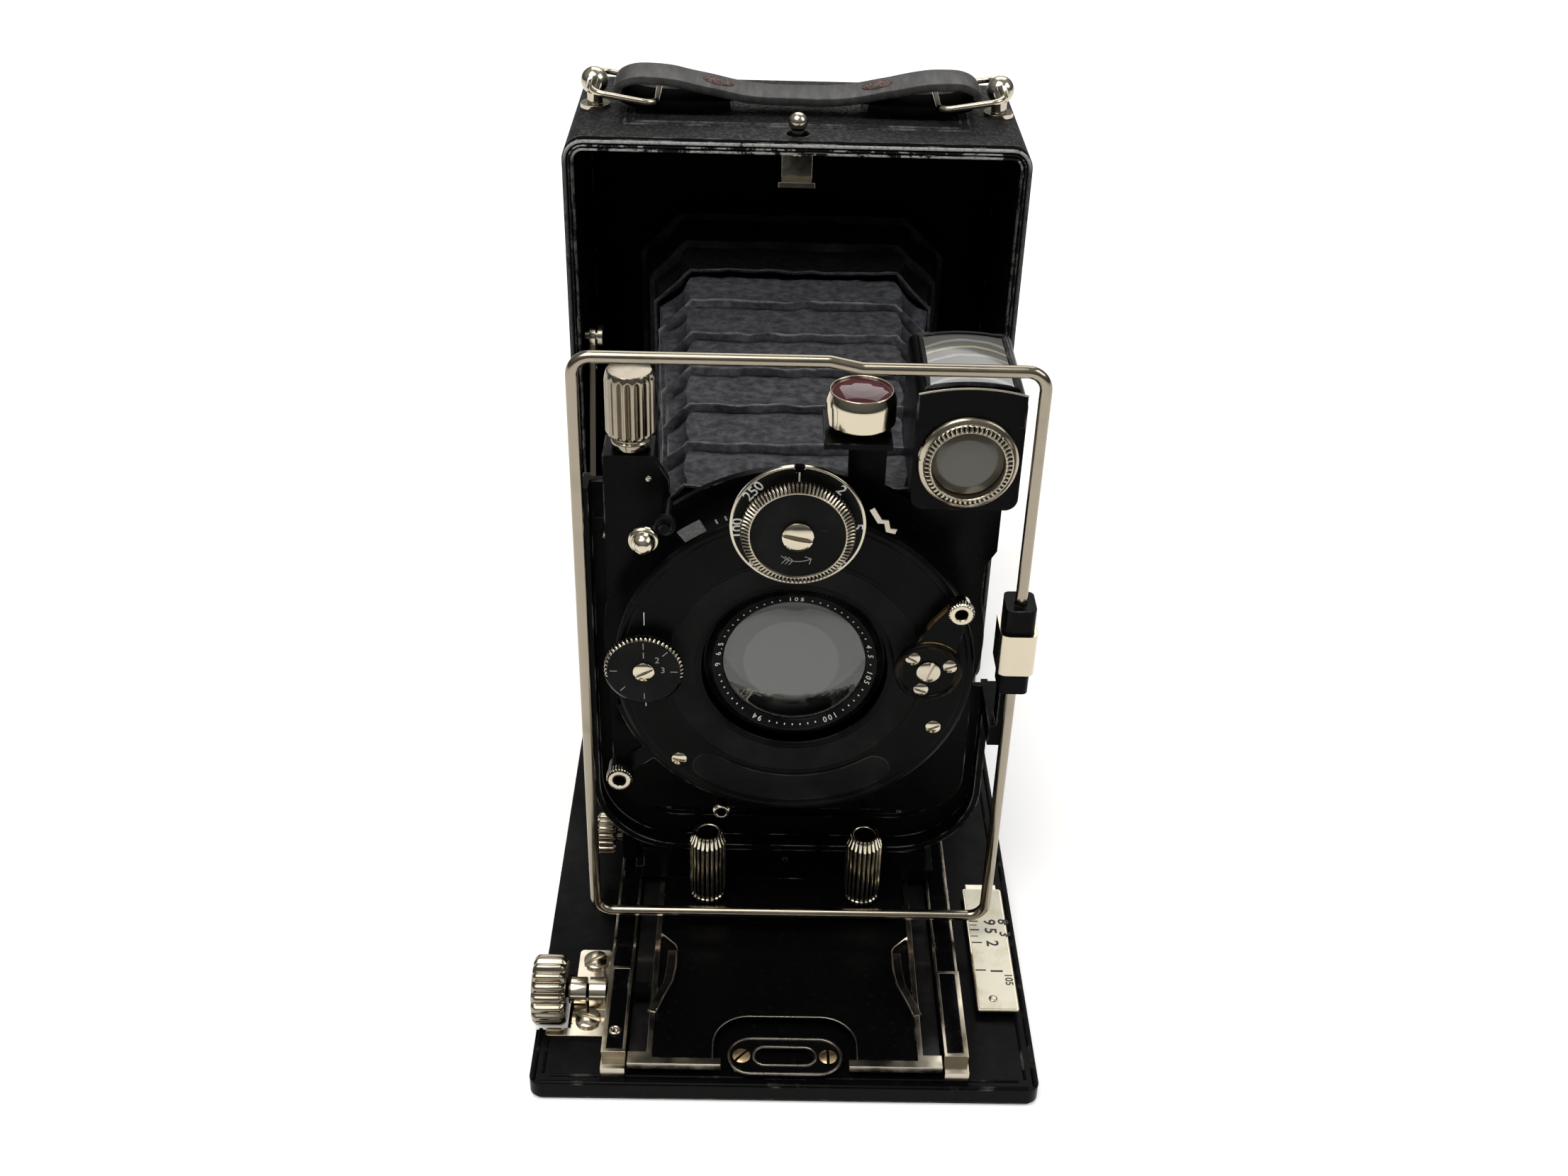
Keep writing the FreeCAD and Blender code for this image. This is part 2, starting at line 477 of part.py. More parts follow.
def shutter():
    cx, cz = LENS_X, LENS_Z

    def disc(y0, y1, radius):
        return rod((cx, y0, cz), (cx, y1, cz), radius)

    face_back = FACE_Y + 0.8
    housing = disc(face_back, BOARD_FRONT, 29.0).cut(disc(face_back - 1, BOARD_FRONT - 1, 27.6))
    housing = housing.cut(disc(face_back, BOARD_FRONT + 1, 16.05))
    boss = rod((0, -84.4, DIAL_Z), (0, BOARD_FRONT, DIAL_Z), 3.9)
    boss = boss.cut(disc(face_back - 3, face_back, 29.5)).cut(disc(-90, -60, 27.6))
    save("shutter_housing", join(housing, boss))

    face = disc(FACE_Y, face_back, SHUTTER_R).cut(disc(FACE_Y - 1, face_back + 1, 15.2))
    # countersunk face screws, and the studs that the dial and the levers turn on
    screws = []
    for x, z, angle in [(-18.7, 42.7, 10), (23.8, 50.4, -25)]:
        head = rod((x, FACE_Y - 0.35, z), (x, FACE_Y, z), 1.25)
        slot = box(x - 2, x + 2, FACE_Y - 1, FACE_Y - 0.15, z - 0.2, z + 0.2)
        slot.rotate(V(x, 0, z), Y_AXIS, angle)
        screws.append(head.cut(slot))
    studs = [rod((x, y0, z), (x, FACE_Y, z), r) for x, z, y0, r in
             [(-24.1, 62.9, -84.4, 1.2), (21.9, 63.6, -84.4, 1.2)]]
    save("shutter_face", join(face, *screws, *studs))

    # closed sector blades, and the iris open behind them
    blades = disc(-78.8, -78.5, 15.4)
    save("shutter_blades", blades)
    save("iris_blades", disc(-77.6, -77.3, 15.4).cut(disc(-80, -70, 11.6)))

    barrel = disc(-81.3, -79.2, 14.4).cut(disc(-82, -70, 11.75))
    rear = disc(-77, -62, 13.0).cut(disc(-78, -60, 11.0))
    lock_ring = disc(-71.8, -69.8, 16.6).cut(disc(-72, -60, 13.0))
    save("lens_barrel", barrel, join(rear, lock_ring))
    front_glass = lens_disc(-80.4, -79.3, 11.7, 1.5)
    rear_glass = disc(-66, -64, 10.95)
    save("lens_elements", front_glass, rear_glass)


def lens_disc(y_rim, y_back, radius, bulge):
    """A lens whose front bulges towards -Y by bulge, standing on a flat back."""
    sphere_r = (radius ** 2 + bulge ** 2) / (2 * bulge)
    ball = Part.makeSphere(sphere_r, V(LENS_X, y_rim - bulge + sphere_r, LENS_Z))
    stock = rod((LENS_X, y_rim - bulge - 0.1, LENS_Z), (LENS_X, y_back, LENS_Z), radius)
    return ball.common(stock)


def dials_and_levers():
    ring_y = -88.6
    dial = rod((0, -85.6, DIAL_Z), (0, -84.6, DIAL_Z), 10.5)
    dial = dial.cut(box(-0.6, 0.6, -87, -84, DIAL_Z + 9.9, DIAL_Z + 11))
    save("speed_dial", dial)
    ring = rod((0, ring_y, DIAL_Z), (0, -85.6, DIAL_Z), 8.9)
    screw = rod((0, ring_y - 0.9, DIAL_Z), (0, ring_y, DIAL_Z), 2.5)
    screw = screw.cut(box(-3, 3, ring_y - 1, ring_y - 0.4, DIAL_Z - 0.35, DIAL_Z + 0.35))
    save("speed_dial_ring", join(ring, screw))

    mode = rod((-24.1, -86.2, 62.9), (-24.1, -84.6, 62.9), 6.45)
    head = rod((-24.1, -86.8, 62.9), (-24.1, -86.2, 62.9), 1.9)
    save("mode_dial", join(mode, head))

    px, pz, kx, kz = 21.9, 63.6, 26.1, 76.1
    cap = rod((px, -86.2, pz), (px, -84.6, pz), 5.5)
    lean = math.degrees(math.atan2(kx - px, kz - pz))
    reach = math.hypot(kx - px, kz - pz)
    arm = outline_xz([(px - 3.4, pz), (px + 3.4, pz), (px + 1.6, pz + reach),
                      (px - 1.6, pz + reach)], -85.4, -84.6)
    arm.rotate(V(px, 0, pz), Y_AXIS, lean)
    knob = rod((kx, -88.0, kz), (kx, -84.6, kz), 2.0).cut(rod((kx, -88.5, kz), (kx, -86.6, kz), 0.8))
    heads = [rod((px, -86.8, pz), (px, -86.2, pz), 1.5)]
    for angle in (35, 145, 260):
        a = math.radians(angle)
        x, z = px + 3.7 * math.cos(a), pz + 3.7 * math.sin(a)
        heads.append(rod((x, -86.6, z), (x, -86.2, z), 1.1))
    save("cocking_lever", join(cap, arm, knob, *heads))

    rx, rz, bx, bz = -20.6, 87.4, -23.9, 85.4
    boss = rod((rx, -81.6, rz), (rx, -80.4, rz), 1.7)
    bar = outline_xz([(rx - 0.4, rz + 0.7), (rx + 0.4, rz - 0.7), (bx + 0.4, bz - 0.7),
                      (bx - 0.4, bz + 0.7)], -81.4, -80.6)
    neck = rod((bx, -82.6, bz), (bx, -80.6, bz), 1.2)
    ball = Part.makeSphere(2.25, V(bx, -83.0, bz))
    lever = join(boss, bar, neck, ball).cut(rod((rx, -84, rz), (rx, -78, rz), 0.95))
    save("release_lever", lever)

    # the aperture lever is an arc round the housing with a ringed knob
    inner, outer = 29.15, 30.7
    arc = tube((LENS_X, -81.4, LENS_Z), (LENS_X, -79.4, LENS_Z), outer, inner)
    wedge = outline_xz([(LENS_X, LENS_Z), (LENS_X - 40, LENS_Z - 12), (LENS_X - 40, LENS_Z - 45),
                        (LENS_X - 18, LENS_Z - 45)], -82, -79)
    ax, az = -28.8, 39.0
    away = math.hypot(ax - LENS_X, az - LENS_Z)
    tilt = math.degrees(math.atan2(az - LENS_Z, ax - LENS_X))
    tab = box(LENS_X + outer - 0.8, LENS_X + away, -81.4, -80.4, LENS_Z - 1.5, LENS_Z + 1.5)
    tab.rotate(V(LENS_X, 0, LENS_Z), Y_AXIS, -tilt)
    knob = rod((ax, -84.6, az), (ax, -80.4, az), 2.1).cut(rod((ax, -85, az), (ax, -83.4, az), 0.9))
    save("aperture_lever", join(arc.common(wedge), tab, knob))


# ---------------------------------------------------------------- finder and level

def finder():
    """Brilliant finder: a small box with a front lens, a mirror and a glass on top."""
    x0, x1, y0, y1, z0, z1 = FINDER_X - 8.3, FINDER_X + 8.3, -82, -60, 91.8, 111.6
    shell = rounded(x0, x1, z0, z1, 2, y0, y1)
    shell = shell.cut(box(x0 + 1.2, x1 - 1.2, y0 + 1.2, y1 - 1.2, z0 + 1.2, z1 - 1.6))
    shell = shell.cut(rod((FINDER_X, y0 - 1, FINDER_Z), (FINDER_X, y0 + 2, FINDER_Z), 5.6))
    shell = shell.cut(box(x0 + 1.4, x1 - 1.4, y0 + 1.6, y1 - 1.6, z1 - 3, z1 + 1))
    save("finder_body", shell)

    radius = 24.0
    dome = rod((FINDER_X, y0 + 1.65, z1 + 2.2 - radius), (FINDER_X, y1 - 1.65, z1 + 2.2 - radius), radius)
    glass = dome.common(box(x0 + 1.45, x1 - 1.45, y0 + 1.65, y1 - 1.65, z1 - 1.5, z1 + 4))
    front = rod((FINDER_X, y0 - 0.4, FINDER_Z), (FINDER_X, y0 + 1.2, FINDER_Z), 5.55)
    mirror = outline_yz([(y0 + 3, z0 + 2), (y0 + 4.2, z0 + 1.4), (y1 - 1.8, z1 - 5), (y1 - 2.6, z1 - 4)],
                        x0 + 1.4, x1 - 1.4)
    save("finder_optics", glass, front, mirror)
    bezel = tube((FINDER_X, y0 - 1.8, FINDER_Z), (FINDER_X, y0, FINDER_Z), 7.8, 5.6)
    save("finder_bezel", bezel)

    cup = rod((LEVEL_X, LEVEL_Y, 103.6), (LEVEL_X, LEVEL_Y, 110.6), 5.4)
    cup = cup.cut(rod((LEVEL_X, LEVEL_Y, 105), (LEVEL_X, LEVEL_Y, 111), 4.55))
    save("level_cup", cup)
    save("level_glass", rod((LEVEL_X, LEVEL_Y, 105), (LEVEL_X, LEVEL_Y, 110.2), 4.5))


def outline_yz(points, x0, x1):
    corners = [V(x0, y, z) for y, z in points]
    face = Part.Face(Part.makePolygon(corners + corners[:1]))
    return face.extrude(V(x1 - x0, 0, 0))


# ---------------------------------------------------------------- bellows

def bellows():
    """Leather bellows, from the lens board back to the rear wall: an eight-sided cone."""
    def section(y, half_x, z0, z1, chamfer):
        points = [(-half_x + chamfer, z0), (half_x - chamfer, z0), (half_x, z0 + chamfer),
                  (half_x, z1 - chamfer), (half_x - chamfer, z1), (-half_x + chamfer, z1),
                  (-half_x, z1 - chamfer), (-half_x, z0 + chamfer)]
        corners = [V(x, y, z) for x, z in points]
        return Part.makePolygon(corners + corners[:1])

    front, rear, wall = -69.2, 37.6, 1.6
    outer = Part.makeLoft([section(front, 22.5, 38, 86, 6),
                           section(rear, 34, 14, 104, 7)], True, True)
    inner = Part.makeLoft([section(front - 0.1, 22.5 - wall, 38 + wall, 86 - wall, 6),
                           section(rear + 0.1, 34 - wall, 14 + wall, 104 - wall, 7)], True, True)
    save("bellows", outer.cut(inner))


def main():
    os.makedirs("parts", exist_ok=True)
    body()
    back()
    latch()
    strap_fittings()
    strap()
    bed()
    struts()
    focus_drive()
    carriage()
    standard()
    u_frame()
    wire_frame()
    lens_board()
    shutter()
    dials_and_levers()
    finder()
    bellows()


main()
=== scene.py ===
"""Looks for the folding plate camera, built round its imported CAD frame.

Small parts are shaped in millimetres about their own axis and then set into the frame, whose
units are metres. Places come from the CAD nodes' boxes.
"""

import math

import bmesh
import bpy
from mathutils import Matrix, Vector, noise


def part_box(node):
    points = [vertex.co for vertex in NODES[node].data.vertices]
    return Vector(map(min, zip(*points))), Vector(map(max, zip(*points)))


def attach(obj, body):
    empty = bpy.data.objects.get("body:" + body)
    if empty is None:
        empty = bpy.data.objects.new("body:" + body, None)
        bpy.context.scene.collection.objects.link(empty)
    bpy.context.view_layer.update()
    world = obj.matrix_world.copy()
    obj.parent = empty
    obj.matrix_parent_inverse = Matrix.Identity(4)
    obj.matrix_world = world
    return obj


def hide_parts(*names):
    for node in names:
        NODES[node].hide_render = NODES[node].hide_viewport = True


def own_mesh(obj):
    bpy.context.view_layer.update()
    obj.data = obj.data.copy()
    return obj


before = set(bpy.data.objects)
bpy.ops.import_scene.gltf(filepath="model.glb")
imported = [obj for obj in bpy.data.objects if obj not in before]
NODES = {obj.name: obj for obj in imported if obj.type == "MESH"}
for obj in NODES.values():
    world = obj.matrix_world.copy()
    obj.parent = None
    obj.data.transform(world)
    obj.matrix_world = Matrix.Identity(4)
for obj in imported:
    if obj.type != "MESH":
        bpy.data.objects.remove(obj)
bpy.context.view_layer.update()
MM = 0.001

X, Y, Z = Vector((1, 0, 0)), Vector((0, 1, 0)), Vector((0, 0, 1))


# ---------------------------------------------------------------- places, in millimetres

def low(node):
    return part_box(node)[0] / MM


def high(node):
    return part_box(node)[1] / MM


def middle(node):
    return (low(node) + high(node)) / 2


LENS = middle("shutter_face")
LENS.y = high("shutter_face").y - 0.8      # the face plate's front
DIAL = middle("speed_dial_ring")
PITCH = 12.3                               # one bellows fold


# ---------------------------------------------------------------- node helpers

def new_material(name, color, roughness, metallic=0.0, **sockets):
    """A Principled material: plain values set on its own sockets."""
    mat = bpy.data.materials.new(name)
    mat.use_nodes = True
    shader = mat.node_tree.nodes["Principled BSDF"]
    shader.inputs["Base Color"].default_value = (*color, 1)
    shader.inputs["Roughness"].default_value = roughness
    shader.inputs["Metallic"].default_value = metallic
    for socket, value in sockets.items():
        shader.inputs[socket.replace("_", " ")].default_value = value
    return mat


class Graph:
    """Short names for the nodes that the materials share."""

    def __init__(self, mat):
        self.tree = mat.node_tree
        self.shader = self.tree.nodes["Principled BSDF"]
        self.place = self.node("ShaderNodeTexCoord").outputs["Object"]

    def node(self, kind, **values):
        made = self.tree.nodes.new(kind)
        for key, value in values.items():
            setattr(made, key, value)
        return made

    def link(self, source, target):
        self.tree.links.new(source, target)

    def noise(self, scale, detail=4.0, rough=0.55, stretch=None):
        """Noise with scale features per metre, drawn out along the axes by stretch."""
        made = self.node("ShaderNodeTexNoise")
        made.inputs["Scale"].default_value = scale
        made.inputs["Detail"].default_value = detail
        made.inputs["Roughness"].default_value = rough
        place = self.place
        if stretch:
            mapping = self.node("ShaderNodeMapping")
            mapping.inputs["Scale"].default_value = stretch
            self.link(place, mapping.inputs["Vector"])
            place = mapping.outputs["Vector"]
        self.link(place, made.inputs["Vector"])
        return made.outputs["Fac"]

    def math(self, operation, a, b=0.5, clamp=False):
        made = self.node("ShaderNodeMath", operation=operation, use_clamp=clamp)
        for socket, value in zip(made.inputs, (a, b)):
            if isinstance(value, (int, float)):
                socket.default_value = value
            else:
                self.link(value, socket)
        return made.outputs[0]

    def between(self, value, start, end, low_out=0.0, high_out=1.0):
        """Maps start..end of value to low_out..high_out, smoothly and clamped."""
        made = self.node("ShaderNodeMapRange", interpolation_type="SMOOTHSTEP")
        self.link(value, made.inputs["Value"])
        for socket, number in zip(("From Min", "From Max", "To Min", "To Max"),
                                  (start, end, low_out, high_out)):
            made.inputs[socket].default_value = number
        return made.outputs["Result"]

    def mix(self, factor, a, b):
        made = self.node("ShaderNodeMix", data_type="RGBA")
        self.link(factor, made.inputs["Factor"])
        for socket, value in ((made.inputs[6], a), (made.inputs[7], b)):
            if isinstance(value, tuple):
                socket.default_value = (*value, 1)
            else:
                self.link(value, socket)
        return made.outputs[2]

    def edges(self, radius_mm, gain):
        """1 on sharp edges within radius_mm, 0 on flat ground."""
        bevel = self.node("ShaderNodeBevel", samples=4)
        bevel.inputs["Radius"].default_value = radius_mm * MM
        plain = self.node("ShaderNodeNewGeometry").outputs["Normal"]
        dot = self.node("ShaderNodeVectorMath", operation="DOT_PRODUCT")
        self.link(bevel.outputs["Normal"], dot.inputs[0])
        self.link(plain, dot.inputs[1])
        turned = self.math("SUBTRACT", 1.0, dot.outputs["Value"])
        return self.math("MULTIPLY", turned, gain, clamp=True)

    def bump(self, height, depth_mm, strength=1.0, rounded_mm=0.0):
        """Bump from a height of 0..1, standing depth_mm tall, over edges softened by rounded_mm."""
        made = self.node("ShaderNodeBump")
        made.inputs["Distance"].default_value = depth_mm * MM
        made.inputs["Strength"].default_value = strength
        self.link(height, made.inputs["Height"])
        if rounded_mm:
            bevel = self.node("ShaderNodeBevel", samples=4)
            bevel.inputs["Radius"].default_value = rounded_mm * MM
            self.link(bevel.outputs["Normal"], made.inputs["Normal"])
        self.link(made.outputs["Normal"], self.shader.inputs["Normal"])

    def color(self, value):
        self.link(value, self.shader.inputs["Base Color"])

    def rough(self, value):
        self.link(value, self.shader.inputs["Roughness"])

    def metal(self, value):
        self.link(value, self.shader.inputs["Metallic"])

    def parts(self, centre_mm=None):
        """The X, Y and Z of the place, measured from centre_mm if one is given."""
        split = self.node("ShaderNodeSeparateXYZ")
        self.link(self.place if centre_mm is None else self.away(centre_mm), split.inputs[0])
        return split.outputs

    def away(self, centre_mm):
        """The place measured from centre_mm."""
        shift = self.node("ShaderNodeVectorMath", operation="SUBTRACT")
        self.link(self.place, shift.inputs[0])
        shift.inputs[1].default_value = centre_mm * MM
        return shift.outputs[0]

    def from_axis(self, centre_mm):
        """Distance from an axis along Y through centre_mm."""
        flat = self.node("ShaderNodeVectorMath", operation="MULTIPLY")
        self.link(self.away(centre_mm), flat.inputs[0])
        flat.inputs[1].default_value = (1, 0, 1)
        length = self.node("ShaderNodeVectorMath", operation="LENGTH")
        self.link(flat.outputs[0], length.inputs[0])
        return length.outputs["Value"]

    def rings(self, centre_mm, per_mm):
        """Fine turned rings about an axis along Y through centre_mm."""
        wave = self.math("MULTIPLY", self.from_axis(centre_mm), per_mm / MM * 2 * math.pi)
        return self.math("MULTIPLY_ADD", self.math("SINE", wave), 0.5)


# ---------------------------------------------------------------- materials

def enamel(name, wear=0.5, gloss=0.24, bare=(0.30, 0.29, 0.27)):
    """Black stove enamel: faint orange peel, dust, and paint rubbed through along edges."""
    mat = new_material(name, (0.003, 0.003, 0.003), gloss, Specular_IOR_Level=0.05)
    g = Graph(mat)
    patches = g.between(g.noise(140, 5, 0.62), 0.56 - 0.1 * wear, 0.72 - 0.1 * wear)
    rubbed = g.math("MULTIPLY", g.edges(0.35, 3.0), patches, clamp=True)
    chips = g.between(g.noise(330, 6, 0.7), 0.735 - 0.02 * wear, 0.76)
    worn = g.math("MAXIMUM", rubbed, g.math("MULTIPLY", chips, 0.5 * wear))
    dust = g.mix(g.between(g.noise(900, 2), 0.55, 0.8), (0.0015, 0.0015, 0.0016), (0.004, 0.004, 0.004))
    g.color(g.mix(worn, dust, bare))
    g.rough(g.between(g.noise(60, 5, 0.65), 0.3, 0.75, gloss * 0.75, gloss * 1.6))
    g.bump(g.noise(700, 3), 0.02, 0.5, rounded_mm=0.18)
    return mat


def plated(name, tint=(0.5, 0.45, 0.36), rough=0.13, tarnish=0.3):
    """Old nickel plate: yellowed, cloudy in places, with fine rubbing marks."""
    mat = new_material(name, tint, rough, metallic=1.0)
    g = Graph(mat)
    cloud = g.between(g.noise(110, 5, 0.6), 0.5, 0.8, 0.0, tarnish)
    dull = tuple(c * 0.45 for c in tint)
    g.color(g.mix(cloud, tint, dull))
    g.rough(g.between(g.noise(200, 4, 0.6), 0.3, 0.8, rough * 0.8, rough * 1.8))
    g.bump(g.noise(500, 2, 0.5), 0.004, 0.4, rounded_mm=0.12)
    return mat


def leather(name, color, grain, depth_mm, rough, worn=(0.16, 0.155, 0.15), wear=0.45):
    """Pebbled leather: grain cells of grain mm, greyed where edges rub."""
    mat = new_material(name, color, rough, Specular_IOR_Level=0.2)
    g = Graph(mat)
    cells = g.node("ShaderNodeTexVoronoi", feature="SMOOTH_F1")
    cells.inputs["Scale"].default_value = 1 / (grain * MM)
    cells.inputs["Smoothness"].default_value = 0.6
    bend = g.node("ShaderNodeVectorMath", operation="MULTIPLY_ADD")
    warp = g.node("ShaderNodeTexNoise")
    warp.inputs["Scale"].default_value = 0.5 / (grain * MM)
    g.link(g.place, warp.inputs["Vector"])
    g.link(warp.outputs["Color"], bend.inputs[0])
    bend.inputs[1].default_value = (1.6 * grain * MM,) * 3
    g.link(g.place, bend.inputs[2])
    g.link(bend.outputs[0], cells.inputs["Vector"])
    pebble = g.math("SUBTRACT", 1.0, cells.outputs["Distance"])
    height = g.math("ADD", pebble, g.math("MULTIPLY", g.noise(260, 5), 0.7))
    light = tuple(c * 2.1 for c in color)
    tone = g.mix(g.between(pebble, 0.35, 0.95), tuple(c * 0.5 for c in color), light)
    rubbed = g.math("MULTIPLY", g.edges(0.9, 2.6), g.between(g.noise(210, 6, 0.7), 0.5 - 0.1 * wear, 0.75))
    g.color(g.mix(rubbed, tone, worn))
    g.rough(g.between(pebble, 0.3, 0.95, min(rough * 1.3, 1.0), rough * 0.85))
    g.bump(height, depth_mm, 0.8, rounded_mm=0.3)
    return mat


def bellows_leather():
    """Thin blue-black leather, crinkled, with light and shade painted on through attribute fold: a painted
    highlight on its lips and painted shade in its creases.

    Where it stands inside the body at rest it is painted black, for the shade there.
    """
    mat = new_material("bellows_skin", (0.03, 0.032, 0.04), 0.62, Specular_IOR_Level=0.2)
    g = Graph(mat)
    fold = g.node("ShaderNodeAttribute", attribute_name="fold").outputs["Fac"]
    crinkle = g.noise(700, 7, 0.66, stretch=(0.8, 1.1, 1))
    threads = g.noise(260, 4, 0.5, stretch=(2.6, 0.3, 1))
    tone = g.mix(g.between(crinkle, 0.3, 0.75), (0.013, 0.0135, 0.0165), (0.056, 0.0575, 0.064))
    tone = g.mix(g.between(threads, 0.5, 0.9, 0.0, 0.35), tone, (0.07, 0.0715, 0.078))
    # painted shade: the creases are painted near black
    tone = g.mix(g.between(fold, -0.9, -0.1), (0.003, 0.003, 0.004), tone)
    depth = g.parts()["Y"]
    tone = g.mix(g.between(depth, 0.046, 0.0475), tone, (0.0006, 0.0006, 0.0007))
    # painted highlight: the lips are painted paler in patches where they catch the light, fading out inside
    # the body, where they lie in shade
    rubbed = g.math("MULTIPLY", g.between(fold, 0.6, 1.0), g.between(g.noise(420, 5, 0.7), 0.35, 0.65, 0.15))
    rubbed = g.math("MULTIPLY", rubbed, g.between(depth, 0.036, 0.0455, 1.0, 0.0))
    g.color(g.mix(rubbed, tone, (0.11, 0.11, 0.113)))
    g.rough(g.between(crinkle, 0.3, 0.75, 0.75, 0.5))
    g.bump(g.math("ADD", crinkle, g.math("MULTIPLY", threads, 0.3)), 0.13, 0.8)
    return mat


def strap_leather():
    """Smooth strap leather with creases across it and dry, paler edges."""
    mat = new_material("strap_skin", (0.02, 0.019, 0.019), 0.42, Specular_IOR_Level=0.45)
    g = Graph(mat)
    creases = g.noise(420, 6, 0.7, stretch=(1.0, 0.16, 0.6))
    pores = g.noise(1500, 3, 0.6)
    tone = g.mix(g.between(creases, 0.35, 0.7), (0.013, 0.0125, 0.0125), (0.042, 0.04, 0.039))
    rubbed = g.math("MULTIPLY", g.edges(0.7, 2.2), g.between(g.noise(300, 5, 0.7), 0.4, 0.7))
    g.color(g.mix(rubbed, tone, (0.13, 0.125, 0.12)))
    g.rough(g.between(creases, 0.3, 0.7, 0.55, 0.33))
    g.bump(g.math("ADD", creases, g.math("MULTIPLY", pores, 0.3)), 0.16, 0.8, rounded_mm=0.3)
    return mat


def turned_black(name, centre_mm, base=0.010, rough=0.34, per_mm=2.6):
    """Satin black with fine turned rings about an axis along Y."""
    mat = new_material(name, (base,) * 3, rough, Specular_IOR_Level=0.05)
    g = Graph(mat)
    rings = g.rings(centre_mm, per_mm)
    smear = g.noise(120, 5, 0.6)
    scratches = g.between(g.noise(500, 5, 0.75, stretch=(0.2, 1, 1.3)), 0.68, 0.74, 0.0, 0.25)
    tone = g.mix(g.between(smear, 0.35, 0.75), (base * 0.6,) * 3, (base * 1.7,) * 3)
    rubbed = g.math("MAXIMUM", g.math("MULTIPLY", g.edges(0.25, 2.2), g.between(smear, 0.4, 0.62)), scratches)
    g.color(g.mix(rubbed, tone, (0.09, 0.087, 0.08)))
    g.rough(g.between(smear, 0.3, 0.75, rough * 0.85, rough * 1.4))
    g.bump(g.math("ADD", rings, g.math("MULTIPLY", g.noise(1500, 2), 0.5)), 0.012, 0.7, rounded_mm=0.1)
    return mat


def sooty(name, worn=0.0):
    """Dead black for insides, with paint rubbed off its edges where worn is over 0."""
    mat = new_material(name, (0.0015, 0.0015, 0.0015), 0.9, Specular_IOR_Level=0.03)
    g = Graph(mat)
    tone = g.mix(g.noise(260, 4), (0.0008, 0.0008, 0.0009), (0.0022, 0.0022, 0.0022))
    rubbed = g.math("MULTIPLY", g.edges(0.3, 3.0), g.between(g.noise(190, 6, 0.7), 0.5, 0.62, 0.0, worn))
    g.color(g.mix(rubbed, tone, (0.4, 0.4, 0.39)))
    g.bump(g.noise(900, 3), 0.02, 0.5)
    return mat


def blade_sheen(name):
    """Smoked steel blades; a soft pool of light, cut off dark below, is painted on them."""
    mat = new_material(name, (0.05, 0.05, 0.048), 0.5, Specular_IOR_Level=0.1)
    g = Graph(mat)

    def pool(shift, reach):
        """1 inside a circle of reach mm, shifted (x, z) mm from the lens axis."""
        away = g.from_axis(Vector((LENS.x + shift[0], 0, LENS.z + shift[1])))
        return g.between(away, reach * MM, (reach - 0.7) * MM)

    ground = g.mix(pool((0, 4.2), 12.5), (0.004, 0.004, 0.004), (0.12, 0.122, 0.115))
    g.color(g.mix(g.math("MULTIPLY", pool((-0.5, -1.0), 8.2), 0.5), ground, (0.3, 0.305, 0.29)))
    g.bump(g.noise(300, 3), 0.004, 0.3)
    return mat


def channel(name, low_x, front_y):
    """Nickel edges beside a black floor that starts low_x from the middle and behind front_y."""
    mat = new_material(name, (0.6, 0.55, 0.45), 0.16, metallic=1.0)
    g = Graph(mat)
    parts = g.parts()
    inside = g.math("GREATER_THAN", g.math("ABSOLUTE", parts["X"]), low_x * MM)
    behind = g.math("GREATER_THAN", parts["Y"], front_y * MM)
    floor = g.math("MULTIPLY", inside, behind)
    cloud = g.between(g.noise(120, 5, 0.6), 0.5, 0.8)
    g.color(g.mix(floor, g.mix(cloud, (0.66, 0.6, 0.485), (0.4, 0.36, 0.3)), (0.006, 0.006, 0.006)))
    g.metal(g.math("SUBTRACT", 1.0, floor))
    g.rough(g.between(g.noise(300, 4), 0.3, 0.8, 0.12, 0.26))
    g.bump(g.noise(500, 2), 0.004, 0.4, rounded_mm=0.12)
    return mat


def chipped(name, cover, bare=(0.36, 0.36, 0.35)):
    """Black paint chipped to pale metal over about cover of its run, mostly along the top."""
    mat = new_material(name, (0.003, 0.003, 0.003), 0.45, Specular_IOR_Level=0.15)
    g = Graph(mat)
    chips = g.between(g.noise(330, 7, 0.72), 0.56 - 0.16 * cover, 0.6 - 0.14 * cover)
    chips = g.math("MULTIPLY", chips, g.between(g.parts()["Z"], 0.117, 0.121, 0.16, 1.0))
    fine = g.between(g.noise(1500, 4, 0.7), 0.3, 0.6, 0.5, 1.0)
    g.color(g.mix(g.math("MULTIPLY", chips, fine), (0.003, 0.003, 0.0032), bare))
    g.bump(g.noise(900, 4), 0.03, 0.6)
    return mat


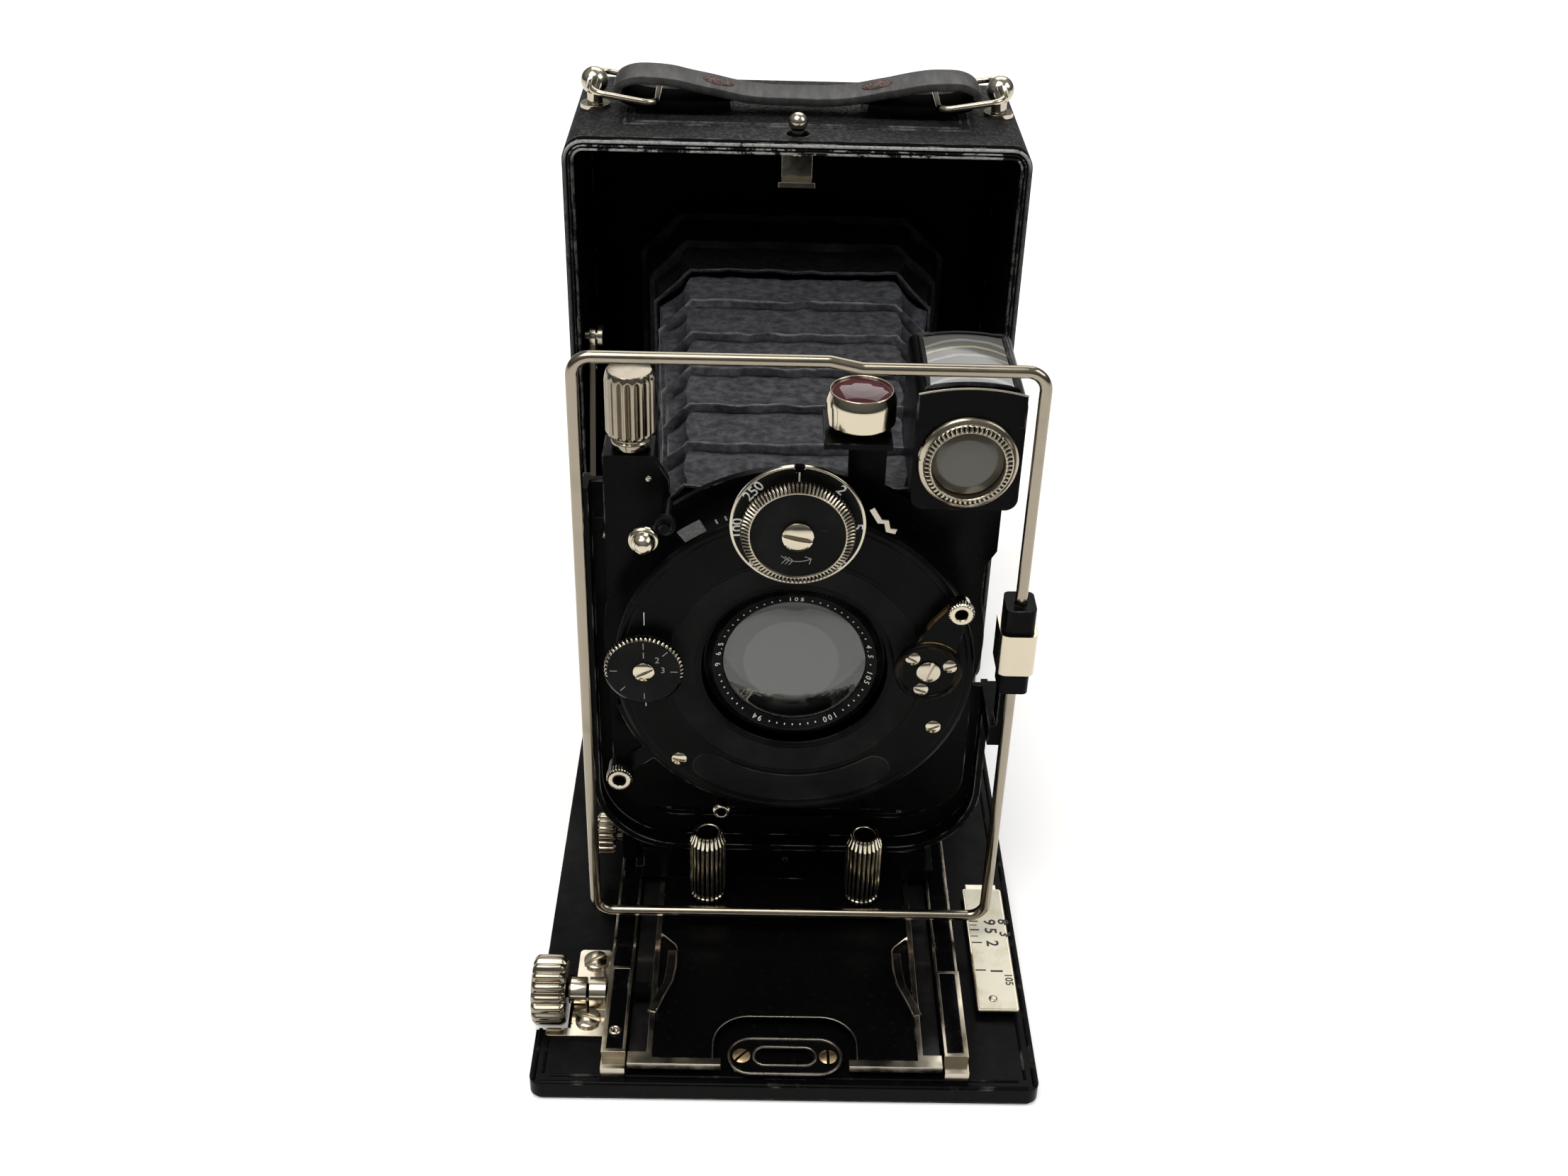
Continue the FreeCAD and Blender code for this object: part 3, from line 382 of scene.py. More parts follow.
def milled(name, centre, axis, count, reach=(0.0, 99.0), tint=(0.4, 0.355, 0.275), upper=False):
    """Nickel whose cuts round an axis along Y or Z, between two radii in mm, are painted dark as shade.

    upper keeps the bright metal to the upper part, and paints the rest dark as shade.
    """
    mat = new_material(name, tint, 0.16, metallic=1.0)
    g = Graph(mat)
    parts = g.parts(centre)
    across, up = parts["X"], parts["Z" if axis == "Y" else "Y"]
    angle = g.math("ARCTAN2", up, across)
    # painted shade: dark stripes at the cuts, count of them round the axis
    cut = g.between(g.math("COSINE", g.math("MULTIPLY", angle, float(count))), -0.1, 0.45)
    radius = g.math("SQRT", g.math("ADD", g.math("MULTIPLY", across, across), g.math("MULTIPLY", up, up)))
    band = g.math("MULTIPLY", g.math("GREATER_THAN", radius, reach[0] * MM),
                  g.math("LESS_THAN", radius, reach[1] * MM))
    dark = g.math("MULTIPLY", cut, band)
    # with upper, everything more than 1.6 mm below the axis is painted dark, as shade on the lower part
    if upper:
        dark = g.math("MAXIMUM", dark, g.math("LESS_THAN", up, -0.0016))
    cloud = g.mix(g.between(g.noise(150, 5, 0.6), 0.5, 0.8), tint, tuple(c * 0.55 for c in tint))
    g.color(g.mix(dark, cloud, (0.012, 0.011, 0.009)))
    g.rough(g.between(g.noise(300, 4), 0.3, 0.8, 0.13, 0.28))
    g.bump(g.noise(500, 2), 0.004, 0.4, rounded_mm=0.08)
    return mat


def banded_glass(name, centre):
    """Curved glass with soft bright bands, bowed, painted across it for reflections."""
    mat = new_material(name, (0.12, 0.12, 0.11), 0.08, Transmission_Weight=0.15, IOR=1.5)
    g = Graph(mat)
    parts = g.parts(centre)
    bow = g.math("MULTIPLY", g.math("MULTIPLY", parts["X"], parts["X"]), 45.0)
    along = g.math("ADD", g.math("ADD", parts["Y"], bow), g.math("MULTIPLY", g.noise(260, 3), 0.0012))
    # painted reflection: paler towards the front and darker towards the back, bowed like the bands
    color = g.mix(g.between(along, -0.009, 0.009), (0.16, 0.165, 0.16), (0.085, 0.083, 0.075))
    for at, wide, shade in ((-0.0062, 0.0009, (0.34, 0.35, 0.34)), (0.0012, 0.0006, (0.3, 0.29, 0.25)),
                            (0.0042, 0.0005, (0.42, 0.37, 0.22)), (0.0068, 0.0008, (0.26, 0.26, 0.24))):
        away = g.math("ABSOLUTE", g.math("SUBTRACT", along, at))
        color = g.mix(g.between(away, 0.0, wide, 0.9, 0.0), color, shade)
    g.color(color)
    g.rough(g.between(g.noise(300, 3), 0.3, 0.8, 0.05, 0.12))
    g.bump(g.noise(60, 1), 0.001, 0.1)
    return mat


def printed(name, color, speckle):
    """Ink or filled engraving, thin in places."""
    mat = new_material(name, color, 0.55)
    g = Graph(mat)
    g.color(g.mix(g.between(g.noise(2600, 3), 0.5, 0.72, 0.0, 0.8), color, speckle))
    g.bump(g.noise(2000, 2), 0.005)
    return mat


def celluloid():
    mat = new_material("ivory_plate", (0.78, 0.72, 0.57), 0.32, Specular_IOR_Level=0.5)
    g = Graph(mat)
    stain = g.between(g.noise(170, 5, 0.65), 0.45, 0.8)
    g.color(g.mix(stain, (0.68, 0.645, 0.51), (0.5, 0.43, 0.3)))
    g.rough(g.between(g.noise(600, 4), 0.3, 0.7, 0.26, 0.45))
    g.bump(g.noise(700, 3), 0.01, 0.5, rounded_mm=0.1)
    return mat


def glass(name, color, rough=0.02, through=1.0, ior=1.52):
    """Glass with faint haze and dust on its surface."""
    mat = new_material(name, color, rough, Transmission_Weight=through, IOR=ior)
    g = Graph(mat)
    g.rough(g.between(g.noise(150, 5, 0.65), 0.4, 0.8, rough, rough + 0.06))
    g.bump(g.noise(60, 1), 0.001, 0.1)
    return mat


def paper_white():
    """White paper that glows a little, the same all over."""
    mat = new_material("studio_floor", (0.86, 0.855, 0.845), 0.85, Specular_IOR_Level=0.2,
                       Emission_Color=(1.0, 0.995, 0.985, 1), Emission_Strength=0.3)
    g = Graph(mat)
    g.color(g.mix(g.noise(3, 2), (0.865, 0.86, 0.85), (0.85, 0.845, 0.835)))
    return mat


ENAMEL = enamel("bed_enamel", wear=0.35, gloss=0.26)
WORN_ENAMEL = enamel("worn_enamel", wear=1.0, gloss=0.36, bare=(0.34, 0.335, 0.32))
GREY_ENAMEL = enamel("rubbed_enamel", wear=1.6, gloss=0.5, bare=(0.2, 0.2, 0.195))
INLAY = enamel("inlay_enamel", wear=0.1, gloss=0.1)
NICKEL = plated("nickel_plate")
DARK_NICKEL = plated("dark_nickel", tint=(0.42, 0.38, 0.31), rough=0.24, tarnish=0.6)
BRIGHT_NICKEL = plated("bright_nickel", tint=(0.54, 0.485, 0.375), rough=0.1, tarnish=0.12)
KNOB_NICKEL = plated("knob_nickel", tint=(0.29, 0.255, 0.198), rough=0.15, tarnish=0.45)
BRASS = plated("old_brass", tint=(0.5, 0.36, 0.2), rough=0.32, tarnish=0.6)
BODY_LEATHER = leather("body_grain", (0.01, 0.0102, 0.0108), 0.85, 0.2, 0.55, worn=(0.3, 0.3, 0.295),
                       wear=1.0)
BELLOWS = bellows_leather()
STRAP = strap_leather()
FACE_BLACK = turned_black("shutter_black", LENS, base=0.0025)
BAND_BLACK = turned_black("shutter_band", LENS, base=0.006, rough=0.45, per_mm=3.4)
DIAL_BLACK = turned_black("dial_black", DIAL, base=0.006, rough=0.4)
MATT_BLACK = sooty("inner_black")
INK = printed("scale_ink", (0.012, 0.011, 0.01), (0.05, 0.045, 0.035))
WHITE_INK = printed("dial_filling", (0.62, 0.61, 0.57), (0.2, 0.2, 0.19))
RUBBED_PLATE = printed("rubbed_plate", (0.045, 0.047, 0.045), (0.12, 0.12, 0.115))
FAINT_INK = printed("faint_filling", (0.22, 0.22, 0.205), (0.05, 0.05, 0.05))
IVORY = celluloid()
RIVET = leather("rivet_brown", (0.075, 0.045, 0.038), 0.5, 0.04, 0.45, worn=(0.2, 0.13, 0.1))
LENS_GLASS = glass("lens_glass", (0.8, 0.82, 0.81), ior=1.5)
FINDER_LENS = glass("finder_lens_glass", (0.10, 0.092, 0.072), 0.14, 0.35, 1.5)
RED_GLASS = glass("level_glass_red", (0.085, 0.012, 0.018), 0.02, 0.35, 1.5)
GROUND_GLASS = glass("ground_glass_grey", (0.82, 0.85, 0.84), 0.45, 0.9)


# ---------------------------------------------------------------- shaping helpers

def add_piece(name, bm, body, materials, replaced=(), sharp_deg=38):
    mesh_data = to_mesh(name, bm, sharp_deg)
    piece = bpy.data.objects.new(name, mesh_data)
    bpy.context.scene.collection.objects.link(piece)
    for material in materials:
        mesh_data.materials.append(material)
    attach(piece, body)
    if replaced:
        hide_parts(*replaced)
    return piece


def to_mesh(name, bm, sharp_deg):
    """Merges doubles, shades smooth and keeps edges sharper than sharp_deg crisp."""
    bmesh.ops.remove_doubles(bm, verts=bm.verts, dist=1e-7)
    bmesh.ops.recalc_face_normals(bm, faces=bm.faces)
    limit = math.radians(sharp_deg)
    for face in bm.faces:
        face.smooth = True
    for edge in bm.edges:
        edge.smooth = len(edge.link_faces) == 2 and edge.calc_face_angle(0.0) < limit
    data = bpy.data.meshes.new(name)
    bm.to_mesh(data)
    bm.free()
    return data


def aim(at_mm, axis, turn_deg=0.0):
    """Sets a shape about its own Z axis, in mm, onto axis at at_mm, in metres."""
    spin = Matrix.Rotation(math.radians(turn_deg), 4, "Z")
    up = Vector(axis).normalized()
    if abs(up.y) > 0.9:          # keep the shape's X along the frame's X
        right = X.copy()
    else:
        right = Y.copy() if abs(up.x) > 0.9 else X.copy()
    ahead = up.cross(right).normalized()
    turn = Matrix((right, ahead, up)).transposed().to_4x4()
    return Matrix.Translation(Vector(at_mm) * MM) @ turn @ spin @ Matrix.Scale(MM, 4)


def softened(profile, radius):
    """Rounds each corner of an outline of vectors by radius."""
    points = [Vector((*p, 0.0)) if len(p) == 2 else Vector(p) for p in profile]
    result = [points[0]]
    for before, corner, after in zip(points, points[1:], points[2:]):
        reach = min(radius, (corner - before).length * 0.45, (after - corner).length * 0.45)
        start = corner + (before - corner).normalized() * reach
        end = corner + (after - corner).normalized() * reach
        result += [start, (start + 2 * corner + end) / 4, end]
    return result + [points[-1]]


def turned(bm, profile, setting, radius=0.12, segments=64, wave=None, sectors=None):
    """Adds a turned shape. Its profile is (radius, height) or (radius, height, flute depth);
    wave(angle) from 0 to 1 says how deep the flutes are round it. sectors gives each profile
    run its material index, by height order."""
    rings = []
    points = softened(profile, radius)
    for r, h, depth in points:
        ring = []
        if r < 1e-6:
            ring = [bm.verts.new(setting @ Vector((0, 0, h)))] * segments
        else:
            for i in range(segments):
                a = 2 * math.pi * i / segments
                reach = r - (depth * wave(a) if wave else 0)
                ring.append(bm.verts.new(setting @ Vector((reach * math.cos(a), reach * math.sin(a), h))))
        rings.append(ring)
    for k, (lower, upper) in enumerate(zip(rings, rings[1:])):
        for i in range(segments):
            j = (i + 1) % segments
            corners = []
            for vert in (lower[i], lower[j], upper[j], upper[i]):
                if vert not in corners:
                    corners.append(vert)
            if len(corners) > 2:
                face = bm.faces.new(corners)
                if sectors:
                    face.material_index = sectors(points[k], points[k + 1])


def flutes(count, sharpness=1.4):
    return lambda a: ((1 + math.cos(count * a)) / 2) ** sharpness


def extruded(bm, outline, height, setting, bevel=0.15):
    """Adds a flat shape of (x, y) points, from z 0 to height, with its top edges bevelled."""
    def ring(inset, z):
        n = len(outline)
        verts = []
        for i in range(n):
            before, here, after = (Vector(outline[(i + k) % n]) for k in (-1, 0, 1))
            normal = Vector((0, 0))
            for step in (here - before, after - here):
                normal += Vector((step.y, -step.x)).normalized()
            normal.normalize()
            verts.append(bm.verts.new(setting @ Vector((*(here - normal * inset), z))))
        return verts

    levels = [ring(0, 0), ring(0, height - bevel), ring(bevel, height)]
    for lower, upper in zip(levels, levels[1:]):
        for i in range(len(outline)):
            j = (i + 1) % len(outline)
            bm.faces.new((lower[i], lower[j], upper[j], upper[i]))
    bm.faces.new(levels[-1])
    bm.faces.new(list(reversed(levels[0])))


def obround(half_x, half_y, corner, steps=6):
    """A counter-clockwise rounded rectangle about the origin."""
    points = []
    for quarter in range(4):
        sx, sy = ((1, 1), (-1, 1), (-1, -1), (1, -1))[quarter]
        for k in range(steps + 1):
            a = math.pi / 2 * (quarter + k / steps)
            points.append((sx * (half_x - corner) + corner * math.cos(a),
                           sy * (half_y - corner) + corner * math.sin(a)))
    return points


def swept(bm, points, section, closed=False, side=Z):
    """Sweeps a section of (across, up) pairs along points in mm; side fixes its roll."""
    count = len(points)
    rings = []
    for i, point in enumerate(points):
        if closed:
            ahead = points[(i + 1) % count] - points[i - 1]
        else:
            ahead = points[min(i + 1, count - 1)] - points[max(i - 1, 0)]
        across = ahead.cross(side).normalized()
        up = across.cross(ahead).normalized()
        rings.append([bm.verts.new((point + across * a + up * b) * MM) for a, b in section])
    pairs = list(zip(rings, rings[1:])) + ([(rings[-1], rings[0])] if closed else [])
    n = len(section)
    for lower, upper in pairs:
        for k in range(n):
            bm.faces.new((lower[k], lower[(k + 1) % n], upper[(k + 1) % n], upper[k]))
    if not closed:
        bm.faces.new(list(reversed(rings[0])))
        bm.faces.new(rings[-1])


def circle(radius, steps=10):
    return [(radius * math.cos(2 * math.pi * k / steps), radius * math.sin(2 * math.pi * k / steps))
            for k in range(steps)]


def screw(bm, at_mm, axis, radius, height, slot_deg, dome=0.3):
    """Adds a slotted screw head: two domed halves over a floor that shows in the slot."""
    setting = aim(at_mm, axis, slot_deg)
    width = radius * 0.16
    steps = 14
    for side in (1, -1):
        start = math.asin(width / radius)
        arc = [start + (math.pi - 2 * start) * k / steps for k in range(steps + 1)]
        rim = [(radius * math.cos(a), side * radius * math.sin(a)) for a in arc]
        rim_low = [bm.verts.new(setting @ Vector((x, y, 0))) for x, y in rim]
        rim_top = [bm.verts.new(setting @ Vector((x, y, height - dome))) for x, y in rim]
        inner = [bm.verts.new(setting @ Vector((x * 0.8, side * max(abs(y) * 0.8, width),
                                                height - dome * 0.3)))
                 for x, y in rim]
        crown = bm.verts.new(setting @ Vector((0, side * width, height)))
        for a, b in ((rim_low, rim_top), (rim_top, inner)):
            for k in range(steps):
                bm.faces.new((a[k], a[k + 1], b[k + 1], b[k]))
        for k in range(steps):
            bm.faces.new((inner[k], inner[k + 1], crown))
        bm.faces.new((rim_low[0], rim_top[0], inner[0], crown, inner[-1], rim_top[-1], rim_low[-1]))
    turned(bm, [(0, height * 0.3), (radius * 0.97, height * 0.3), (radius * 0.97, 0)], setting, 0.02, 28)


def lettering(bm, text, size_mm, setting, lift=0.03, weight=0.0):
    """Adds figures as a thin raised shape, centred on the setting's origin."""
    curve = bpy.data.curves.new("figures", "FONT")
    curve.body = text
    curve.size = size_mm
    curve.extrude = lift
    curve.offset = size_mm * weight
    curve.align_x = "CENTER"
    curve.align_y = "CENTER"
    curve.resolution_u = 3
    holder = bpy.data.objects.new("figures", curve)
    bpy.context.scene.collection.objects.link(holder)
    bpy.context.view_layer.update()
    data = bpy.data.meshes.new_from_object(holder)
    data.transform(setting)
    bm.from_mesh(data)
    bpy.data.objects.remove(holder)
    bpy.data.curves.remove(curve)
    bpy.data.meshes.remove(data)


def stroke(bm, start, end, width, setting, lift=0.04):
    """Adds a thin straight mark from start to end, (x, y) in mm."""
    start, end = Vector(start), Vector(end)
    along = (end - start).normalized()
    side = Vector((-along.y, along.x)) * width / 2
    corners = [start - side, end - side, end + side, start + side]
    extruded(bm, [tuple(c) for c in corners], lift, setting, bevel=lift * 0.3)


def polar(radius, degrees):
    a = math.radians(degrees)
    return Vector((radius * math.cos(a), radius * math.sin(a)))


# ---------------------------------------------------------------- CAD nodes that keep their shape

def dress(material, *nodes):
    for node in nodes:
        data = NODES[node].data
        data.materials.clear()
        data.materials.append(material)


def dress_frame():
    dress(ENAMEL, "bed_plate", "carriage_plate", "lens_board", "shutter_housing", "finder_body",
          "aperture_lever", "body_rails", "frame_clip", "standard_base")
    dress(WORN_ENAMEL, "back_rails", "focusing_hood", "u_frame")
    dress(sooty("shell_black", worn=1.0), "body_shell", "ground_glass_frame")
    dress(channel("carriage_channel", 22.95, low("carriage_rails").y + 2.8), "carriage_rails")
    dress(BODY_LEATHER, "body_leather", "bed_leather", "hood_lid")
    dress(INLAY, "rail_inlays")
    dress(NICKEL, "outer_rails", "rail_feet", "bearing_plate",
          "latch", "strap_posts", "scale_bracket", "hinge_pin", "left_strut", "right_strut")
    dress(KNOB_NICKEL, "wire_frame")
    dress(BRIGHT_NICKEL, "clip_band", "left_ring", "right_ring")
    dress(DARK_NICKEL, "strut_studs")
    dress(MATT_BLACK, "focus_pinion")
    dress(BRASS, "tripod_bush")
    dress(GROUND_GLASS, "ground_glass")
    dress(blade_sheen("blade_sheen"), "shutter_blades")
    dress(DIAL_BLACK, "iris_blades")
    dress(WORN_ENAMEL, "catch_plate")


# ---------------------------------------------------------------- body

def rounded_loop(x0, x1, z0, z1, corner, y):
    centre = Vector(((x0 + x1) / 2, y, (z0 + z1) / 2))
    return [centre + Vector((px, 0, pz)) for px, pz in obround((x1 - x0) / 2, (z1 - z0) / 2, corner)]


def body_trim():
    """Beads round the mouth of the body, and the embossed lines on its leather top."""
    lo, hi = low("body_shell"), high("body_shell")
    front = low("body_leather").y - 1.6
    for name, inset, radius, cover in (("outer", 0.45, 0.34, 1.25), ("middle", 1.25, 0.18, 0.3),
                                       ("inner", 2.0, 0.24, 0.7)):
        loop = rounded_loop(lo.x + inset, hi.x - inset, 0.1 + inset, hi.z - inset, 4 - inset, front + 0.05)
        bm = bmesh.new()
        swept(bm, loop, circle(radius, 8), closed=True, side=Y)
        piece = name + "_rim_bead"
        add_piece(piece, bm, "camera_body", [chipped(piece, cover)])

    bm = bmesh.new()
    top, back = hi.z, high("body_leather").y
    for inset in (0.0, 1.6):
        x, y0, y1 = 33 - inset, front + 9.5 + inset, back - 5 - inset
        corners = [Vector((-x, y0, top)), Vector((x, y0, top)), Vector((x, y1, top)), Vector((-x, y1, top))]
        for start, end in zip(corners, corners[1:] + corners[:1]):
            points = [start.lerp(end, k / 12) for k in range(13)]
            swept(bm, points, [(-0.4, -0.2), (0.4, -0.2), (0.16, 0.22), (-0.16, 0.22)])
    add_piece("top_embossing", bm, "camera_body", [BODY_LEATHER])


def hand_strap():
    """One leather band: it runs over both ends, and folds back under round each ring."""
    lo, hi = low("hand_strap"), high("hand_strap")
    y = (lo.y + hi.y) / 2
    mid_top = lo.z + 1.5

    def smooth(points, steps=8):
        result = []
        for i in range(len(points) - 1):
            p0, p1, p2 = points[max(i - 1, 0)], points[i], points[i + 1]
            p3 = points[min(i + 2, len(points) - 1)]
            for k in range(steps):
                t = k / steps
                result.append(0.5 * (2 * p1 + (p2 - p0) * t + (2 * p0 - 5 * p1 + 4 * p2 - p3) * t * t
                                     + (3 * p1 - p0 - 3 * p2 + p3) * t ** 3))
        return result + [points[-1]]

    end = hi.x
    side = [(12.5, mid_top - 0.55), (18, mid_top - 1.0), (24, lo.z + 0.35), (29, lo.z + 0.5),
            (32.5, lo.z + 1.4), (end - 1.0, lo.z + 2.5), (end - 0.8, hi.z - 1.0), (end - 2.4, hi.z + 0.1),
            (30, hi.z + 0.6), (24.5, hi.z + 0.3), (17.5, hi.z - 1.1), (9, mid_top + 0.55)]
    route = side + [(0, mid_top + 0.25)] + [(-x, z) for x, z in reversed(side)]
    points = smooth([Vector((x, y, z)) for x, z in route])
    bm = bmesh.new()
    half, thick = (hi.y - lo.y) / 2, 0.75
    section = [(a, b) for a, b in
               [(-half, 0), (-half + 0.25, -thick), (-half * 0.5, -thick), (0, -thick), (half * 0.5, -thick),
                (half - 0.25, -thick), (half, 0), (half - 0.3, thick), (half * 0.55, thick * 1.12),
                (0, thick * 1.25), (-half * 0.55, thick * 1.12), (-half + 0.3, thick)]]
    rings = []
    for i, point in enumerate(points):
        ahead = (points[min(i + 1, len(points) - 1)] - points[max(i - 1, 0)]).normalized()
        up = Y.cross(ahead).normalized()
        if i < len(points) // 2 and up.z < 0 and ahead.x < 0:
            up.negate()
        waist = 1 - 0.06 * math.exp(-(point.x / 12) ** 2)
        ring = []
        for a, b in section:
            wobble = noise.noise(point * 0.21 + Vector((0, a * 0.1, 4.2))) * 0.28
            ring.append(bm.verts.new((point + Y * (a * waist) + up * (b + wobble * 0.35)) * MM))
        rings.append(ring)
    for i, (near, far) in enumerate(zip(rings, rings[1:])):
        for k in range(len(section)):
            j = (k + 1) % len(section)
            face = bm.faces.new((near[k], near[j], far[j], far[k]))
            if abs(points[i].x) > 13 and points[i].z < lo.z + 2.6:
                face.material_index = 1     # the lower layer of the folded ends, painted dead black as the shade under the strap
    bm.faces.new(rings[0])
    bm.faces.new(list(reversed(rings[-1])))
    add_piece("leather_strap", bm, "strap", [STRAP, MATT_BLACK], ["hand_strap"],
              sharp_deg=50)

    bm = bmesh.new()
    for sign in (-1, 1):
        near = min((p for p in points if p.z > mid_top + 1 and abs(p.x - sign * 15) < 3),
                   key=lambda p: abs(p.x - sign * 15))
        setting = Matrix.Translation(near * MM) @ Matrix.Rotation(math.radians(-sign * 13), 4, "Y") \
            @ Matrix.Diagonal((1.35 * MM, MM, MM, 1))
        turned(bm, [(0, 0.3), (2.35, 0.6), (2.3, 1.1), (1.5, 1.4), (0, 1.45)], setting, 0.2, 40)
    add_piece("strap_rivets", bm, "strap", [RIVET], sharp_deg=60)


# ---------------------------------------------------------------- bellows

BELLOWS_FRONT, BELLOWS_REAR = low("bellows").y, high("bellows").y

# one fold from its lip to the next: (part of the pitch, height in mm, lip 1 .. crease -1); the last column
# paints the lip pale as highlight and the crease black as shade
FOLD = ((0.0, 1.0, 1.0), (0.03, 1.05, 1.0), (0.07, 0.75, 0.2), (0.15, 0.15, 0.0), (0.27, -0.1, 0.0),
        (0.45, 0.0, 0.0), (0.65, 0.2, 0.0), (0.82, 0.25, -0.1), (0.91, 0.0, -0.6), (0.965, -0.6, -1.0))


def bellows_section(y, lift):
    """Half width, bottom, top and corner cut of the bellows at y, raised by lift."""
    t = (y - BELLOWS_FRONT) / (BELLOWS_REAR - BELLOWS_FRONT)
    return 20.6 + 6.5 * t + 5.7 * t ** 4 + lift, 39.0 - 23.5 * t - lift, 87.0 + 10 * t + lift, 3.5 + 5.4 * t


def bellows_ring(bm, layer, y, section, part, mark):
    """One ring of points round the bellows; part is where in its fold it lies."""
    half, bottom, top, cut = section
    near_lip = abs(1 - 2 * part)
    cut *= 0.62 + 0.38 * near_lip
    centre_z = (top + bottom) / 2
    corners = [(half - cut, top), (half, top - cut), (half, bottom + cut), (half - cut, bottom),
               (-half + cut, bottom), (-half, bottom + cut), (-half, top - cut), (-half + cut, top)]
    ring = []
    for k, (x, z) in enumerate(corners):
        nx, nz = corners[(k + 1) % 8]
        diagonal = k % 2 == 0
        runs = 6 if diagonal else 22
        for m in range(runs):
            t = m / runs
            px, pz = x + (nx - x) * t, z + (nz - z) * t
            if diagonal:          # between two lips the corner is tucked in
                tuck = math.sin(math.pi * t) * (1.0 - near_lip) * 2.6
                px -= math.copysign(tuck * 0.7, px)
                pz -= math.copysign(tuck * 0.7, pz - centre_z)
            spot = Vector((px, y, pz))
            out = Vector((px, 0, pz - centre_z)).normalized()
            crinkle = noise.noise(spot * 0.3) * 0.42 + noise.noise(spot * 0.95) * 0.2
            wander = noise.noise(Vector((px * 0.13, round((y - BELLOWS_FRONT) / PITCH - part) * 3.1,
                                         pz * 0.13)))
            vert = bm.verts.new((spot + out * crinkle + Y * (wander * 0.75)) * MM)
            # the tucked corners between two lips are marked as crease, so they get painted shade
            vert[layer] = min(mark, -0.75 * (1.0 - near_lip)) if diagonal and 1 < m < 5 else mark
            ring.append(vert)
    return ring


def bellows_piece(name, first, last, body, tail=0.0, replaced=()):
    """Folds first to last, counted from the front, then tail mm of plain skin behind them."""
    bm = bmesh.new()
    layer = bm.verts.layers.float.new("fold")
    rings = []
    for k in range(first, last):
        for part, lift, mark in FOLD:
            y = BELLOWS_FRONT + PITCH * (k + part)
            if y < BELLOWS_REAR - 0.6:
                rings.append(bellows_ring(bm, layer, y, bellows_section(y, lift), part, mark))
    if tail:
        joint = BELLOWS_FRONT + PITCH * last
        plain = bellows_section(joint, -1.6)
        rings += [bellows_ring(bm, layer, joint + tail * k / 6, plain, 0.0, 0.0) for k in range(7)]
    n = len(rings[0])
    for lower, upper in zip(rings, rings[1:]):
        for k in range(n):
            bm.faces.new((lower[k], lower[(k + 1) % n], upper[(k + 1) % n], upper[k]))
    piece = add_piece(name, bm, body, [BELLOWS], replaced, sharp_deg=30)
    thicken(piece, 0.45)
    return piece


def thicken(piece, wall_mm):
    """Gives an open skin a wall on its inside, applied to the mesh."""
    modifier = piece.modifiers.new("wall", "SOLIDIFY")
    modifier.thickness = wall_mm * MM
    modifier.offset = -1
    apply_modifiers(piece)


def apply_modifiers(piece):
    bpy.context.view_layer.update()
    solid = bpy.data.meshes.new_from_object(piece.evaluated_get(bpy.context.evaluated_depsgraph_get()))
    piece.modifiers.clear()
    piece.data = solid


def bellows():
    """Two telescoping lengths: one stays with the body, the other with the sliding carriage."""
    split, folds, tail = 6, 9, 13.5
    rear = bellows_piece("bellows_rear", split, folds, "camera_body", replaced=["bellows"])
    front = bellows_piece("bellows_front", 0, split, "carriage", tail=tail)
    bm = bmesh.new()
    layer = bm.verts.layers.float.new("fold")
    y = BELLOWS_REAR - 0.7
    inner = bellows_ring(bm, layer, y, bellows_section(y, -0.8), 0.0, 0.0)
    outer = []
    for vert in inner:
        reach = Vector((vert.co.x, vert.co.z - 0.0615))
        reach *= min(0.0402 / max(abs(reach.x), 1e-6), 0.0565 / max(abs(reach.y), 1e-6))
        outer.append(bm.verts.new((reach.x, y * MM, reach.y + 0.0615)))
    for k in range(len(inner)):
        j = (k + 1) % len(inner)
        bm.faces.new((inner[k], inner[j], outer[j], outer[k]))
    baffle = add_piece("bellows_seat", bm, "camera_body", [MATT_BLACK])
    thicken(baffle, 0.4)
    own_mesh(rear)
    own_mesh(front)


# ---------------------------------------------------------------- bed

def knob_profile(radius, length, depth, rim=0.7):
    """A fluted knob from its collar end at 0 to its free end at length."""
    return [(0, 0), (radius - rim, 0, depth * 0.4), (radius, rim, depth), (radius, length - rim, depth),
            (radius - rim, length, depth * 0.5), (radius * 0.6, length), (radius * 0.55, length - 0.3),
            (0, length - 0.3)]


def focus_knob():
    lo, hi = low("focus_knob"), high("focus_knob")
    mid = (lo + hi) / 2
    radius = (hi.z - lo.z) / 2
    bm = bmesh.new()
    setting = aim((hi.x, mid.y, mid.z), -X)
    turned(bm, knob_profile(radius, hi.x - lo.x, 0.75), setting, 0.25, 18 * 10, flutes(18, 2.2))
    screw(bm, (lo.x + 0.35, mid.y, mid.z), -X, 1.6, 0.7, 20)
    add_piece("fluted_focus_knob", bm, "focus_knob", [KNOB_NICKEL], ["focus_knob"])


def bearing_sleeve():
    """The bearing's bored end, round the pinion shaft."""
    shaft = middle("focus_pinion")
    start = high("focus_knob").x + 0.35
    length = low("bearing_plate").x + 6.4 - start
    bm = bmesh.new()
    turned(bm, [(1.4, 0), (2.15, 0), (2.3, 0.3), (2.3, length), (1.4, length), (1.4, 0)],
           aim((start, shaft.y, shaft.z), X), 0.12, 48)
    add_piece("bearing_sleeve", bm, "bed", [NICKEL])


